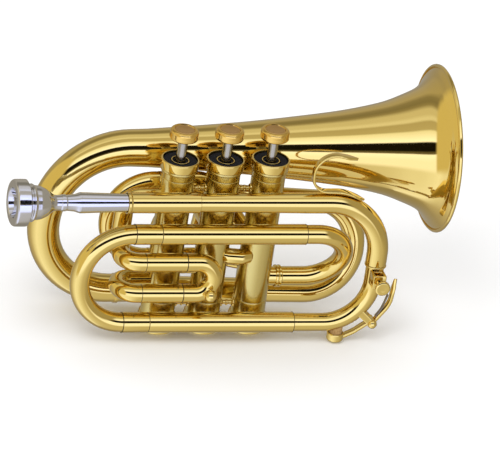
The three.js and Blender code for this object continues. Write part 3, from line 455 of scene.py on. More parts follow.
class TubeBender:
    """Runs a round section along a line with Geometry Nodes, and gives the tube its wall."""

    SIDES = 40

    def __init__(self) -> None:
        """Builds the tree that all tubes share."""
        self.tree = self._tree()

    def _tree(self) -> bpy.types.GeometryNodeTree:
        """The tree: line to curve, girth to radius, round section along it."""
        tree = bpy.data.node_groups.new("tube_along_line", "GeometryNodeTree")
        socket(tree, "Line", Socket.GEOMETRY)
        socket(tree, "Sides", Socket.INT, default=self.SIDES)
        socket(tree, "Finish", Socket.MATERIAL)
        socket(tree, "Tube", Socket.GEOMETRY, output=True)
        wires = Wiring(tree)
        start = wires.add("NodeGroupInput").outputs
        named = wires.add("GeometryNodeInputNamedAttribute", {"Name": "girth"}, data_type="FLOAT")
        girth = named.outputs["Attribute"]
        curve = wires.add("GeometryNodeMeshToCurve", {"Mesh": start["Line"]}).outputs["Curve"]
        line = wires.add("GeometryNodeSetCurveRadius", {"Curve": curve, "Radius": girth}).outputs["Curve"]
        circle = {"Radius": 1.0, "Resolution": start["Sides"]}
        section = wires.add("GeometryNodeCurvePrimitiveCircle", circle).outputs["Curve"]
        tube = wires.add("GeometryNodeCurveToMesh", {"Curve": line, "Profile Curve": section})
        if "Scale" in tube.inputs:
            wires.feed(tube, {"Scale": girth})
        real = wires.add("GeometryNodeRealizeInstances", {"Geometry": tube.outputs["Mesh"]})
        finish = wires.add("GeometryNodeSetMaterial", {
            "Geometry": real.outputs["Geometry"], "Material": start["Finish"]})
        wires.add("NodeGroupOutput", {"Tube": finish.outputs["Geometry"]})
        return tree

    def bend(self, name: str, route: Route, diameter: float | Size, wall: float,
             finish: bpy.types.Material, seats: Sequence["Casing | None"] = (None, None),
             sides: int | None = None) -> bpy.types.Object:
        """Makes one tube.

        Args:
            name: The piece's name.
            route: Its centre line.
            diameter: Its outer diameter, or a function of the share of its length.
            wall: Its wall thickness.
            finish: Its material.
            seats: The casings that its two ends are seated on, if any.
            sides: How many faces go round it.

        Returns:
            The finished tube.
        """
        size = diameter if callable(diameter) else lambda _: diameter
        stations = route.stations
        mesh = bpy.data.meshes.new(name)
        mesh.from_pydata([s.point * MM for s in stations], [(i, i + 1) for i in range(len(stations) - 1)], [])
        girth = mesh.attributes.new("girth", "FLOAT", "POINT")
        girth.data.foreach_set("value", [size(s.travelled / route.length) / 2 * MM for s in stations])
        piece = object_from(name, mesh)
        modifier = piece.modifiers.new("tube", "NODES")
        modifier.node_group = self.tree
        values = {"Sides": sides or self.SIDES, "Finish": finish}
        for item in self.tree.interface.items_tree:
            if item.name in values:
                modifier[item.identifier] = values[item.name]
        baked(piece)
        for casing, station, outward in zip(seats, (stations[0], stations[-1]), (-1, 1)):
            if casing is not None:
                casing.seat(piece.data, station, station.heading * outward)
        solid = piece.modifiers.new("wall", "SOLIDIFY")
        solid.thickness = wall * MM
        solid.offset = -1
        baked(piece)
        face_outwards(piece.data)
        smooth(piece.data)
        return piece


@dataclass(frozen=True)
class HandledSurface:
    """What making and handling leave on metal: faint clouding, wipe marks and a slight unevenness."""

    name: str = "handled_surface"
    cloud_detail: float = 4.0
    cloud_span: tuple[float, float] = (0.3, 0.7)
    mark_detail: float = 6.0
    mark_roughness: float = 0.6
    mark_ratio: float = 7.0
    mark_span: tuple[float, float] = (0.3, 0.75)

    def group(self) -> bpy.types.ShaderNodeTree:
        """Builds the shared group once and returns it afterwards.

        Returns:
            The group, with the outputs Tone, Roughness and Height.
        """
        if self.name in bpy.data.node_groups:
            return bpy.data.node_groups[self.name]
        tree = bpy.data.node_groups.new(self.name, "ShaderNodeTree")
        for name in ("Scale", "Clouding", "Gloss Low", "Gloss High"):
            socket(tree, name, Socket.FLOAT)
        for name in ("Tone", "Roughness", "Height"):
            socket(tree, name, Socket.FLOAT, output=True)
        wires = Wiring(tree)
        start = wires.add("NodeGroupInput").outputs
        where = wires.add("ShaderNodeTexCoord").outputs["Object"]
        cloud = wires.add("ShaderNodeTexNoise", {
            "Vector": where, "Scale": start["Scale"], "Detail": self.cloud_detail}).outputs["Fac"]
        clean = wires.maths("SUBTRACT", 1.0, start["Clouding"])
        marks = wires.add("ShaderNodeTexNoise", {
            "Vector": where, "Scale": wires.maths("MULTIPLY", start["Scale"], self.mark_ratio),
            "Detail": self.mark_detail, "Roughness": self.mark_roughness}).outputs["Fac"]
        wires.add("NodeGroupOutput", {
            "Tone": wires.spread(cloud, *self.cloud_span, clean, 1.0),
            "Roughness": wires.spread(marks, *self.mark_span, start["Gloss Low"], start["Gloss High"]),
            "Height": cloud})
        return tree


@dataclass(frozen=True)
class Finish:
    """A finish whose material is built once and shared."""

    name: str
    colour: Colour

    def material(self) -> bpy.types.Material:
        """Builds the material once and returns it afterwards."""
        if self.name not in bpy.data.materials:
            made = bpy.data.materials.new(self.name)
            made.use_nodes = True
            self.dress(Wiring(made.node_tree), made.node_tree.nodes["Principled BSDF"])
        return bpy.data.materials[self.name]

    def put_on(self, piece: bpy.types.Object) -> None:
        """Makes this the only finish of a piece."""
        piece.data.materials.clear()
        piece.data.materials.append(self.material())

    def dress(self, wires: Wiring, shader: bpy.types.Node) -> None:
        """Sets the shader up.

        Args:
            wires: The material's tree.
            shader: Its shader.
        """
        raise NotImplementedError


@dataclass(frozen=True)
class Paint(Finish):
    """An even, rough paint."""

    roughness: float = 0.9

    def dress(self, wires: Wiring, shader: bpy.types.Node) -> None:
        """Sets the paint's colour and roughness."""
        wires.feed(shader, {"Roughness": self.roughness, "Base Color": (*self.colour, 1)})


@dataclass(frozen=True)
class Metal(Finish):
    """A polished or satin metal finish."""

    shade: Colour
    gloss: tuple[float, float]
    scale: float = 60.0
    clouding: float = 0.08
    unevenness: float = 0.00002
    lacquer: float = 0.0
    lacquer_roughness: float = 0.04

    def dress(self, wires: Wiring, shader: bpy.types.Node) -> None:
        """Wires the handled surface into a metal shader."""
        marks = wires.add("ShaderNodeGroup", {
            "Scale": self.scale, "Clouding": self.clouding, "Gloss Low": self.gloss[0],
            "Gloss High": self.gloss[1]}, node_tree=HandledSurface().group()).outputs
        bump = wires.add("ShaderNodeBump", {"Distance": self.unevenness, "Height": marks["Height"]})
        wires.feed(shader, {
            "Metallic": 1.0, "Coat Weight": self.lacquer, "Coat Roughness": self.lacquer_roughness,
            "Base Color": wires.mixed(marks["Tone"], (*self.shade, 1), (*self.colour, 1)),
            "Roughness": marks["Roughness"], "Normal": bump.outputs["Normal"]})


@dataclass(frozen=True)
class Matt(Finish):
    """A soft matt finish, such as felt or cork."""

    fleck: Colour
    scale: float
    depth: float
    detail: float = 8.0
    fleck_span: tuple[float, float] = (0.35, 0.8)
    roughness: float = 0.95

    def dress(self, wires: Wiring, shader: bpy.types.Node) -> None:
        """Wires the flecks into a rough shader."""
        where = wires.add("ShaderNodeTexCoord").outputs["Object"]
        noise = {"Vector": where, "Scale": self.scale, "Detail": self.detail}
        fibre = wires.add("ShaderNodeTexNoise", noise).outputs["Fac"]
        ramp = wires.add("ShaderNodeValToRGB", {"Fac": fibre})
        colours = (self.colour, self.fleck)
        for element, place, colour in zip(ramp.color_ramp.elements, self.fleck_span, colours):
            element.position = place
            element.color = (*colour, 1)
        bump = wires.add("ShaderNodeBump", {"Distance": self.depth, "Height": fibre})
        wires.feed(shader, {
            "Roughness": self.roughness, "Base Color": ramp.outputs["Color"],
            "Normal": bump.outputs["Normal"]})


LACQUERED_BRASS = Metal(
    "brass_under_lacquer", (0.79, 0.58, 0.145), (0.71, 0.51, 0.115), (0.045, 0.075), lacquer=0.6)
# The casings are the same lacquered brass made darker: the darker colour is painted shade for the casings
# standing between the tubes.
SHADED_CASING_BRASS = Metal(
    "casing_brass_painted_shade", (0.66, 0.52, 0.15), (0.56, 0.44, 0.12), (0.18, 0.25), scale=90.0, lacquer=0.6)
SILVER_PLATE = Metal("polished_silver", (0.63, 0.615, 0.585), (0.55, 0.535, 0.505), (0.08, 0.14))
STAINLESS = Metal("stem_steel", (0.39, 0.35, 0.24), (0.29, 0.26, 0.18), (0.14, 0.24), scale=220.0)
BUTTON_BRASS = Metal("button_brass", (0.8, 0.52, 0.12), (0.68, 0.42, 0.08), (0.12, 0.2))
BUTTON_INLAY = Metal("button_inlay", (0.68, 0.42, 0.15), (0.54, 0.32, 0.1), (0.3, 0.42))
PISTON_PLATE = Metal("piston_nickel", (0.68, 0.66, 0.6), (0.6, 0.58, 0.52), (0.15, 0.25))
SPRING_STEEL = Metal("dark_spring_steel", (0.34, 0.32, 0.3), (0.25, 0.23, 0.21), (0.3, 0.45), scale=300.0)
BLACK_FELT = Matt("felt_pile", (0.002, 0.002, 0.0025), (0.01, 0.01, 0.012), 2200.0, 0.0002)
SEAM = Metal("joint_line", (0.06, 0.045, 0.02), (0.03, 0.02, 0.01), (0.4, 0.6), scale=300.0)
SEAM_RISE, SEAM_DEPTH, SEAM_WIDTH = 0.08, 0.6, 0.32
CORK = Matt("cork_grain", (0.34, 0.19, 0.06), (0.56, 0.36, 0.14), 900.0, 0.0003)


class Bench:
    """Keeps the tools and finishes that the sub-assemblies share, and fits finished pieces."""

    def __init__(self) -> None:
        """Sets up the tube bender."""
        self.bender = TubeBender()

    def fit(self, piece: bpy.types.Object, body: str, finish: Finish, slot: str,
            *nodes: str) -> bpy.types.Object:
        """Gives a piece its finish, puts it on its body and lets it stand for its CAD nodes.

        Args:
            piece: The finished piece.
            body: The CAD body that it moves with.
            finish: Its finish.
            slot: The record's material slot; not used.
            nodes: The CAD nodes that it replaces.

        Returns:
            The same piece.
        """
        finish.put_on(piece)
        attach(piece, body)
        if nodes:
            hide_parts(*nodes)
        log.info("%s on %s: %d faces", piece.name, body, len(piece.data.polygons))
        return piece

    def brass(self, piece: bpy.types.Object, *nodes: str, body: str = HORN) -> bpy.types.Object:
        """Fits a piece of lacquered brass."""
        return self.fit(piece, body, LACQUERED_BRASS, "lacquered_brass", *nodes)

    def tube(self, name: str, route: Route, diameter: float | Size, wall: float,
             *nodes: str, body: str = HORN,
             seats: Sequence["Casing | None"] = (None, None)) -> bpy.types.Object:
        """Bends a tube of lacquered brass and fits it."""
        piece = self.bender.bend(name, route, diameter, wall, LACQUERED_BRASS.material(), seats)
        return self.brass(piece, *nodes, body=body)

    def seams(self, name: str, diameter: float, places: Iterable[float], centre: Sequence[float], axis: Axis,
              body: str = HORN) -> None:
        """Draws the fine dark joint lines round a tube.

        Args:
            name: What the pieces' names start with.
            diameter: The tube's diameter.
            places: Where the lines lie along the axis.
            centre: The point from which the places are counted.
            axis: The tube's axis.
            body: The body that the tube rides on.
        """
        half = SEAM_WIDTH / 2
        for number, place in enumerate(places, 1):
            profile = ring_profile(diameter + SEAM_RISE, diameter - SEAM_DEPTH, place - half, place + half)
            self.fit(turned(f"{name}_{number}", profile, centre, axis), body, SEAM, "lacquered_brass")

    def collar(self, name: str, outer: float, inner: float, start: float, end: float,
               centre: Sequence[float], axis: Axis, *nodes: str, body: str = HORN) -> bpy.types.Object:
        """Turns a plain ring of lacquered brass and fits it."""
        profile = softened(ring_profile(outer, inner, start, end))
        return self.brass(turned(name, profile, centre, axis), *nodes, body=body)


@dataclass
class Casing:
    """One valve: its casing, caps, felt, piston, stem, button and spring."""

    number: int
    bench: Bench
    diameter: float = 19.5
    wall: float = 1.0
    collar: float = 21.2
    collar_foot: Steps = ((0.1, 1.7),)
    grooves: Steps = ((19.9, 0.25), (97.8, 0.12))
    groove_mouth: float = 0.3
    groove_floor: float = 0.1
    cap: float = 22.0
    cap_top: float = 109.0
    cap_skirt: float = 5.4
    cap_edge: Steps = ((0, -0.4), (-0.4, 0), (-0.9, 0))
    roof_above_skirt: float = 1.0
    roof_thickness: float = 1.2
    recess_depth: float = 2.6
    eye_radius: float = 4.7
    eye_wall: float = 0.5
    eye_drop: float = 0.9
    felt_heights: tuple[float, float] = (0.3, 1.5)
    washer_heights: tuple[float, float] = (1.5, 2.9)
    cap_floor: float = 1.8
    cap_chamfer: float = 0.8
    waist_depth: float = 0.4
    waist_shares: tuple[float, float, float, float] = (0.26, 0.32, 0.68, 0.74)
    clearance: float = 0.3
    stem: float = 5.8
    stem_foot: float = 5.5
    stem_foot_height: float = 0.9
    button: float = 16.7
    button_skirt: float = 1.0
    button_crown: float = 0.5
    button_foot: Steps = ((-2.0, 0), (-0.8, 0.2), (-0.2, 0.7), (0, 1.4), (-0.05, 3.0))
    button_rim: Steps = ((-0.1, -1.5), (-0.4, -0.7), (-1.0, -0.15), (-1.6, 0), (-2.4, -0.05))
    inlay_edge: Steps = ((-2.7, -0.34), (-3.2, -0.1), (-4.4, -0.12))
    seat_depth: float = 0.35
    seat_ring: float = 0.05
    seat_reach: float = 20.0

    @property
    def x(self) -> float:
        """The casing's place along the row."""
        return Place.of(f"bottom_cap_{self.number}").middle.x

    def seat(self, mesh: bpy.types.Mesh, station: Station, outward: Vector) -> None:
        """Moves a tube's end ring on to this casing's round wall.

        Args:
            mesh: The open tube, in metres.
            station: The station at that end.
            outward: The heading out of the tube there.
        """
        radius, x = self.diameter / 2 - self.seat_depth, self.x
        slide = Vector((outward.x, outward.y, 0))
        for vertex in mesh.vertices:
            point = vertex.co / MM
            away = point - station.point
            if abs(away.dot(outward)) > self.seat_ring or away.length > self.seat_reach:
                continue
            flat = Vector((point.x - x, point.y, 0))
            b, c = flat.dot(slide), flat.length_squared - radius * radius
            reach = b * b - c * slide.length_squared
            if reach >= 0:
                vertex.co = (point + outward * ((-b - math.sqrt(reach)) / slide.length_squared)) * MM

    def build(self) -> None:
        """Makes every piece of the valve."""
        self._casing()
        self._caps()
        self._button()
        self._hidden()

    def _casing(self) -> None:
        """The casing with its collars and its two fine seams."""
        n, r, collar, gap = self.number, self.diameter / 2, self.collar / 2, self.clearance
        place = Place.of(f"valve_casing_{n}")
        low, high, bore = place.low.z, place.high.z, r - self.wall
        bottom, top = Place.of(f"bottom_cap_{n}").high.z + gap, Place.of(f"top_cap_{n}").low.z - gap
        mouth, floor = self.groove_mouth, self.groove_floor
        grooves = [
            point for z, depth in self.grooves
            for point in ((r, z - mouth), (r - depth, z - floor), (r - depth, z + floor), (r, z + mouth))]
        outline = [
            (r, low), (r, bottom), *stepped(collar, bottom, ((0, 0), (0, 1.4))),
            *stepped(r, bottom, self.collar_foot), *grooves, (r, top - 1.9),
            *stepped(collar, top, ((-0.2, -1.5), (0, -1.3), (0, 0))),
            (r, top), (r, high), (bore, high), (bore, low)]
        piece = turned(f"casing_shell_{n}", softened(outline, 0.18), (self.x, 0, 0), Axis.Z, 72)
        # The casing takes the darker brass, whose colour is painted shade.
        self.bench.fit(piece, HORN, SHADED_CASING_BRASS, "lacquered_brass", f"valve_casing_{n}")

    def _caps(self) -> None:
        """The two caps, and the felt with its black washer inside the eye."""
        n, at, gap, r, top = self.number, (self.x, 0, 0), self.clearance, self.cap / 2, self.cap_top
        skirt, inner, lip = top - self.cap_skirt, self.diameter / 2 + gap, self.stem / 2 + gap
        roof, recess, eye = skirt + self.roof_above_skirt, top - self.recess_depth, self.eye_radius
        floor, eye_top, eye_outside = roof + self.roof_thickness, top - self.eye_drop, eye + self.eye_wall
        edge = stepped(r, top, self.cap_edge)
        outline = [
            (lip, roof), (inner, roof), (inner, skirt), (r, skirt), *edge, (edge[-1][0], recess),
            (eye_outside, recess), (eye_outside, eye_top), (eye, eye_top), (eye, floor), (lip, floor)]
        self.bench.brass(turned(f"cap_top_{n}", softened(outline, 0.2), at), f"top_cap_{n}")
        low, high = (recess + height for height in self.felt_heights)
        felt = softened(ring_profile(2 * (r - 1.2), 2 * (eye + 0.8), low, high), 0.5, 5)
        self.bench.fit(turned(f"felt_ring_{n}", felt, at), HORN, BLACK_FELT, "black_felt", f"cap_felt_{n}")
        low, high = (roof + height for height in self.washer_heights)
        washer = softened(ring_profile(2 * (eye - gap), self.stem + 0.6, low, high), 0.4, 4)
        self.bench.fit(turned(f"stem_washer_{n}", washer, at, sides=48), HORN, BLACK_FELT, "black_felt")
        h, waist, bevel = Place.of(f"bottom_cap_{n}").high.z, r - self.waist_depth, self.cap_chamfer
        below, narrow, wide, above = (h * share for share in self.waist_shares)
        foot = [
            (0, 0), (r - bevel, 0), (r, bevel), (r, below), (waist, narrow), (waist, wide), (r, above),
            (r, h), (inner, h), (inner, self.cap_floor), (0, self.cap_floor)]
        self.bench.brass(turned(f"cap_bottom_{n}", softened(foot, 0.25), at), f"bottom_cap_{n}")

    def _button(self) -> None:
        """The stem and the finger button with its dished top."""
        n, at, body, gap = self.number, (self.x, 0, 0), f"valve_{self.number}", self.clearance
        place, rod = Place.of(f"finger_button_{n}"), Place.of(f"stem_{n}")
        low, high, r = place.low.z - self.button_skirt, place.high.z + self.button_crown, self.button / 2
        bore, socket_top = self.stem / 2 + gap, rod.high.z + gap
        rim = eased(stepped(r, low, self.button_foot) + stepped(r, high, self.button_rim), 4)
        outline = [
            (0, socket_top), (bore, socket_top), (bore, low + 0.2), (bore + 0.6, low), *rim,
            (r - 2.6, high - 0.4), (0, high - 0.6)]
        self.bench.fit(turned(f"button_{n}", outline, at), body, BUTTON_BRASS, "bronze", f"finger_button_{n}")
        inlay = eased(stepped(r, high, self.inlay_edge) + [(r / 4, high - 0.25)], 4)
        disc = [(0, high - 0.55), (r - 2.7, high - 0.38), *inlay, (0, high - 0.28)]
        self.bench.fit(turned(f"button_inlay_{n}", disc, at), body, BUTTON_INLAY, "bronze")
        start, end, thin, wide = rod.low.z, rod.high.z, self.stem / 2, self.stem_foot
        shoulder = start + self.stem_foot_height
        stem = softened([
            (0, start), (wide, start), (wide, shoulder), (thin, shoulder), (thin, end), (0, end)], 0.2)
        piece = turned(f"stem_rod_{n}", stem, at, sides=40)
        self.bench.fit(piece, body, STAINLESS, "stainless_steel", f"stem_{n}")

    def _hidden(self) -> None:
        """Finishes the piston and the spring, whose CAD solids stay."""
        for node, finish in (("piston", PISTON_PLATE), ("valve_spring", SPRING_STEEL)):
            finish.put_on(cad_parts[f"{node}_{self.number}"])


@dataclass
class Mouthpiece:
    """The silver mouthpiece and the receiver that holds it."""

    bench: Bench
    rim: float = 27.2
    receiver: float = 12.0
    receiver_bore: float = 11.2
    receiver_lip: Steps = ((0.45, 0), (0.5, 0.8), (0.4, 1.5), (0, 2.2))
    outside_shares: Profile = field(default_factory=lambda: [
        (0.64, 0.006), (0.7, 0.001), (0.82, 0.001), (0.93, 0.004), (0.985, 0.012), (1, 0.025), (1, 0.08),
        (0.97, 0.09), (0.82, 0.098), (0.765, 0.104), (0.755, 0.11), (0.79, 0.117), (0.815, 0.124),
        (0.79, 0.132), (0.755, 0.138), (0.735, 0.155), (0.7, 0.182), (0.58, 0.222), (0.45, 0.248),
        (0.365, 0.266), (0.332, 0.285), (0.328, 0.305), (0.334, 0.314), (0.357, 0.32), (0.36, 0.342),
        (0.342, 0.352), (0.345, 0.37), (0.375, 0.408), (0.425, 0.43), (0.441, 0.445), (0.44, 0.47),
        (0.386, 0.745), (0.352, 1.0)])
    inside_shares: Profile = field(default_factory=lambda: [
        (0.3, 1.0), (0.14, 0.34), (0.136, 0.205), (0.2, 0.178), (0.36, 0.135), (0.5, 0.085), (0.585, 0.035)])

    def build(self) -> None:
        """Makes the mouthpiece and the receiver."""
        place = Place.of("mouthpiece")
        centre = (place.low.x, place.middle.y, place.middle.z)
        length, r = place.high.x - place.low.x, self.rim / 2
        outside = eased([(a * r, s * length) for a, s in self.outside_shares], 4)
        inside = eased([(a * r, s * length) for a, s in self.inside_shares], 4)
        piece = turned("mouthpiece_body", outside + inside, centre, Axis.X, 72)
        self.bench.fit(piece, "mouthpiece", SILVER_PLATE, "silver_plate", "mouthpiece")
        tube = Place.of("mouthpiece_receiver")
        span, outer, bore = tube.high.x - tube.low.x, self.receiver / 2, self.receiver_bore / 2
        outline = [(bore, 0), *stepped(outer, 0, self.receiver_lip), (outer, span), (bore, span)]
        start = (tube.low.x, tube.middle.y, tube.middle.z)
        shell = turned("receiver_tube", softened(outline, 0.2), start, Axis.X)
        self.bench.brass(shell, "mouthpiece_receiver")


@dataclass
class OuterBow:
    """The leadpipe, the outer bow at the right, and the sleeves of the tuning slide."""

    bench: Bench
    y: float = -17.0
    lead_z: float = 89.3
    low_z: float = 12.1
    high_z: float = 68.9
    bow_x: float = 93.3
    upper_bend: float = 33.0
    lower_bend: float = 27.0
    joint_z: float = 50.4
    joint_lap: float = 5.6
    joint_ring: Steps = ((6.0, -1.5), (6.3, -1.2), (6.3, -0.6), (6.0, -0.3))
    small: float = 10.6
    large: float = 12.2
    wall: float = 0.5
    sleeve: float = 11.9
    sleeve_bore: float = 11.1
    leg: float = 10.5
    crook: float = 11.4
    ferrule: float = 15.7
    ferrule_lap: float = 4.0
    slide_gap: float = 0.3
    lead_seam_x: float = -17.7

    def build(self) -> None:
        """Makes the leadpipe, the lower bow and the fixed sleeves."""
        self._leadpipe()
        self._lower_bow()
        for level, z in (("upper", self.high_z), ("lower", self.low_z)):
            place = Place.of(f"tuning_sleeve_{level}")
            self.bench.collar(
                f"sleeve_{level}", self.sleeve, self.sleeve_bore, place.low.x, place.high.x,
                (0, self.y, z), Axis.X, f"tuning_sleeve_{level}")
        self._crook()

    def lead_route(self) -> Route:
        """The centre line from inside the receiver to the joint of the outer bow."""
        start, x, y, z = Place.of("leadpipe").low.x, self.bow_x, self.y, self.lead_z
        return Route([(start, y, z), (x, y, z), (x, y, self.joint_z)], [self.upper_bend])

    def _leadpipe(self) -> None:
        """The tapered leadpipe."""
        route = self.lead_route()
        grow_from = Place.of("mouthpiece_receiver").high.x - Place.of("leadpipe").low.x
        grow_to = Place.of("tuning_sleeve_upper").high.x - Place.of("leadpipe").low.x

        def size(share: float) -> float:
            """The pipe's diameter at a share of its length."""
            grown = (share * route.length - grow_from) / (grow_to - grow_from)
            return self.small + (self.large - self.small) * clamped(grown)

        self.bench.tube("lead_tube", route, size, self.wall, "leadpipe")

    def _lower_bow(self) -> None:
        """The lower half of the bow and the ring at its joint."""
        end, x, y, low = Place.of("lower_lead_bow").low.x, self.bow_x, self.y, self.low_z
        route = Route([(x, y, self.joint_z + self.joint_lap), (x, y, low), (end, y, low)], [self.lower_bend])
        self.bench.tube("bow_tube", route, self.leg, self.wall, "lower_lead_bow")
        bore, ring = self.leg / 2, self.joint_ring
        outline = [(bore, ring[0][1]), *ring, (bore, ring[-1][1])]
        self.bench.brass(turned("bow_ring", softened(outline, 0.15), (x, y, self.joint_z)))

    def _crook(self) -> None:
        """The tuning slide that pulls out: legs, ferrules and crook."""
        body = "tuning_slide"
        sleeve_start = Place.of("tuning_sleeve_upper").low.x
        start = sleeve_start - self.ferrule
        low, high = (Vector((start + self.ferrule_lap, self.y, z)) for z in (self.low_z, self.high_z))
        left = Place.of("tuning_crook").low.x + self.crook / 2
        straight = low.x - (left + (high - low).length / 2)
        route = Route.u_bend(high, low, Vector((-1, 0, 0)), straight)
        self.bench.tube("crook_tube", route, self.crook, self.wall, "tuning_crook", body=body)
        for level, z in (("upper", self.high_z), ("lower", self.low_z)):
            place = Place.of(f"tuning_leg_{level}")
            self.bench.collar(
                f"slide_leg_{level}", self.leg, self.leg - 2 * self.wall, place.low.x, place.high.x,
                (0, self.y, z), Axis.X, f"tuning_leg_{level}", body=body)
            self.bench.collar(
                f"slide_ferrule_{level}", self.sleeve, self.sleeve_bore, start, sleeve_start - self.slide_gap,
                (0, self.y, z), Axis.X, body=body)
            self.bench.seams(f"crook_seam_{level}", self.sleeve, [start], (0, self.y, z), Axis.X, body)
            ends = [sleeve_start - self.slide_gap / 2]
            self.bench.seams(f"sleeve_seam_{level}", self.sleeve - 0.2, ends, (0, self.y, z), Axis.X)
            right = Place.of(f"tuning_sleeve_{level}").high.x
            self.bench.seams(f"sleeve_end_{level}", self.sleeve, [right], (0, self.y, z), Axis.X)
        self.bench.seams("lead_seam", self.small + 0.2, [self.lead_seam_x], (0, self.y, self.lead_z), Axis.X)


@dataclass
class ValveTubing:
    """The entry bow, the crossovers and the three valve slides."""

    bench: Bench
    casings: list[Casing]
    entry: float = 11.0
    entry_wall: float = 0.5
    entry_inset: float = 13.5
    entry_corner_x: float = 75.8
    entry_y: float = -17.0
    entry_high_z: float = 68.9
    entry_low_z: float = 33.1
    entry_ring_x: float = 41.2
    entry_ring: Steps = (
        (6.3, -1.75), (6.5, -1.2), (6.4, -0.4), (6.0, 0), (6.4, 0.4), (6.5, 1.2), (6.3, 1.75))
    knuckle: float = 9.6
    knuckle_wall: float = 0.6
    knuckle_turn: float = math.radians(35)
    knuckle_bend: float = 6.0
    knuckle_reach: float = 8.9
    knuckle_y: float = -7.3
    knuckle_z: float = 49.0
    small_sleeve: float = 11.0
    small_crook: float = 10.7
    small_leg: float = 9.6
    small_wall: float = 0.4
    crook_wall: float = 0.55
    leg_wall: float = 0.5
    leg_overlap: float = 4.0
    leg_reach: float = 20.0
    sleeve_gap: float = 0.3
    port_reach: float = 7.5
    curl_inset: float = 0.5
    seam_back: float = 24.5
    first_bend_x: float = -12.6
    knob_radius: float = 3.6
    knob_stand_off: float = 3.3
    knob_neck: Steps = ((1.9, -0.2), (2.6, 0.5), (2.4, 0.9), (0, 0.9))
    second_sleeve: float = 10.4
    second_crook: float = 9.8
    second_leg: float = 9.0
    second_leg_reach: float = 14.0
    second_straight: float = 3.7
    third_bend_x: float = -34.5
    third_drop_x: float = -4.0
    third_drop_bend: float = 13.0
    third_port_bend: float = 5.9
    front_y: float = -17.7
    front_high: float = 51.1
    front_low: float = 31.2
    riser_x: float = -56.0
    riser_top: float = 84.0
    riser_bend: float = 9.0
    third_y: float = 16.0
    third_high: float = 86.1
    third_low: float = 36.7
    third_port: float = 49.0

    def build(self) -> None:
        """Makes all of the tubing round the valves."""
        self._entry_bow()
        self._crossovers()
        self._first()
        self._second()
        self._third()

    def _valve(self, number: int) -> Casing:
        """The casing with a number."""
        return self.casings[number - 1]

    def _entry_bow(self) -> None:
        """The bow into the third valve, with its double ring."""
        valve, x = self._valve(3), self.entry_corner_x
        start = Place.of("entry_bow").low.x + self.entry_inset
        high, low = Vector((0, self.entry_y, self.entry_high_z)), Vector((0, 0, self.entry_low_z))
        radius = (high - low).length / 2
        route = Route(
            [(start, *high.yz), (x, *high.yz), (x, *low.yz), (valve.x + self.port_reach, *low.yz)],
            [radius, radius])
        self.bench.tube("entry_tube", route, self.entry, self.entry_wall, "entry_bow", seats=(None, valve))
        bore, ring = self.entry / 2 - 0.3, self.entry_ring
        outline = [(bore, ring[0][1]), *ring, (bore, ring[-1][1])]
        self.bench.brass(turned("entry_ring", softened(outline, 0.2), (self.entry_ring_x, *low.yz), Axis.X))

    def _crossovers(self) -> None:
        """The knuckle between the second and third valves, and the short tube beside it."""
        first, second, third = self.casings
        turn, y, z = self.knuckle_turn, self.knuckle_y, self.knuckle_z
        side, bend = -y / math.tan(turn), self.knuckle_bend
        along, across = self.knuckle_reach * math.cos(turn), -self.knuckle_reach * math.sin(turn)
        route = Route(
            [(third.x - along, across, z), (third.x - side, y, z), (second.x + side, y, z),
             (second.x + along, across, z)], [bend, bend])
        self.bench.tube(
            "knuckle_tube", route, self.knuckle, self.knuckle_wall, "crossover_two_three",
            seats=(third, second))
        low = Place.of("crossover_one_two").middle.z
        straight = Route([(first.x + self.port_reach, 0, low), (second.x - self.port_reach, 0, low)])
        self.bench.tube(
            "crossover_tube", straight, self.knuckle, self.knuckle_wall, "crossover_one_two",
            seats=(first, second))

    def _u_slide(self, name: str, high: Vector, low: Vector, along: Vector, straight: float,
                 legs: float, crook: float, leg: float) -> None:
        """Makes a valve slide: its bow and its two legs.

        Args:
            name: Which slide it is, as its node's and its body's names start.
            high: The open end of the upper leg's bow.
            low: The open end of the lower leg's bow.
            along: The direction towards the bend.
            straight: The straight run before the bend.
            legs: How far the thin legs reach into the sleeves.
            crook: The bow's diameter.
            leg: The legs' diameter.
        """
        body = f"{name}_valve_slide"
        route = Route.u_bend(high, low, along, straight)
        self.bench.tube(f"{name}_bow", route, crook, self.crook_wall, f"{name}_slide", body=body)
        for level, end in (("upper", high), ("lower", low)):
            line = Route([end + along * self.leg_overlap, end - along * legs])
            self.bench.tube(f"{name}_leg_{level}", line, leg, self.leg_wall, body=body)

    def _first(self) -> None:
        """The first valve's slide in front, its curls, its riser and its knob."""
        y, high, low, valve = self.front_y, self.front_high, self.front_low, self._valve(1)
        end, curl, port = Place.of("first_sleeve_lower").high.x, -y / 2, valve.x - self.port_reach
        x, top = self.riser_x + self.curl_inset, self.riser_top
        below = Route([(end, y, low), (x, y, low), (x, 0, low), (port, 0, low)], [curl, curl])
        x = self.riser_x
        above = Route(
            [(end, y, high), (x, y, high), (x, 0, high), (x, 0, top), (port, 0, top)],
            [curl, curl, self.riser_bend])
        self._sleeve("first_low_tube", below, "first_sleeve_lower", valve)
        self._sleeve("first_high_tube", above, "first_sleeve_upper", valve)
        for level, z in (("high", high), ("low", low)):
            places = [end - self.seam_back, end - 0.1]
            self.bench.seams(f"first_seam_{level}", self.small_sleeve, places, (0, y, z), Axis.X)
        start, bend = end + self.sleeve_gap, self.first_bend_x
        self._u_slide("first", Vector((start, y, high)), Vector((start, y, low)), Vector((1, 0, 0)),
                      bend - start, self.leg_reach, self.small_crook, self.small_leg)
        self._knob(Vector((bend, y, (high + low) / 2)), (high - low) / 2)

    def _sleeve(self, name: str, route: Route, node: str, valve: Casing) -> None:
        """Makes a slide's outer tube, seated on its valve at the far end."""
        self.bench.tube(name, route, self.small_sleeve, self.small_wall, node, seats=(None, valve))

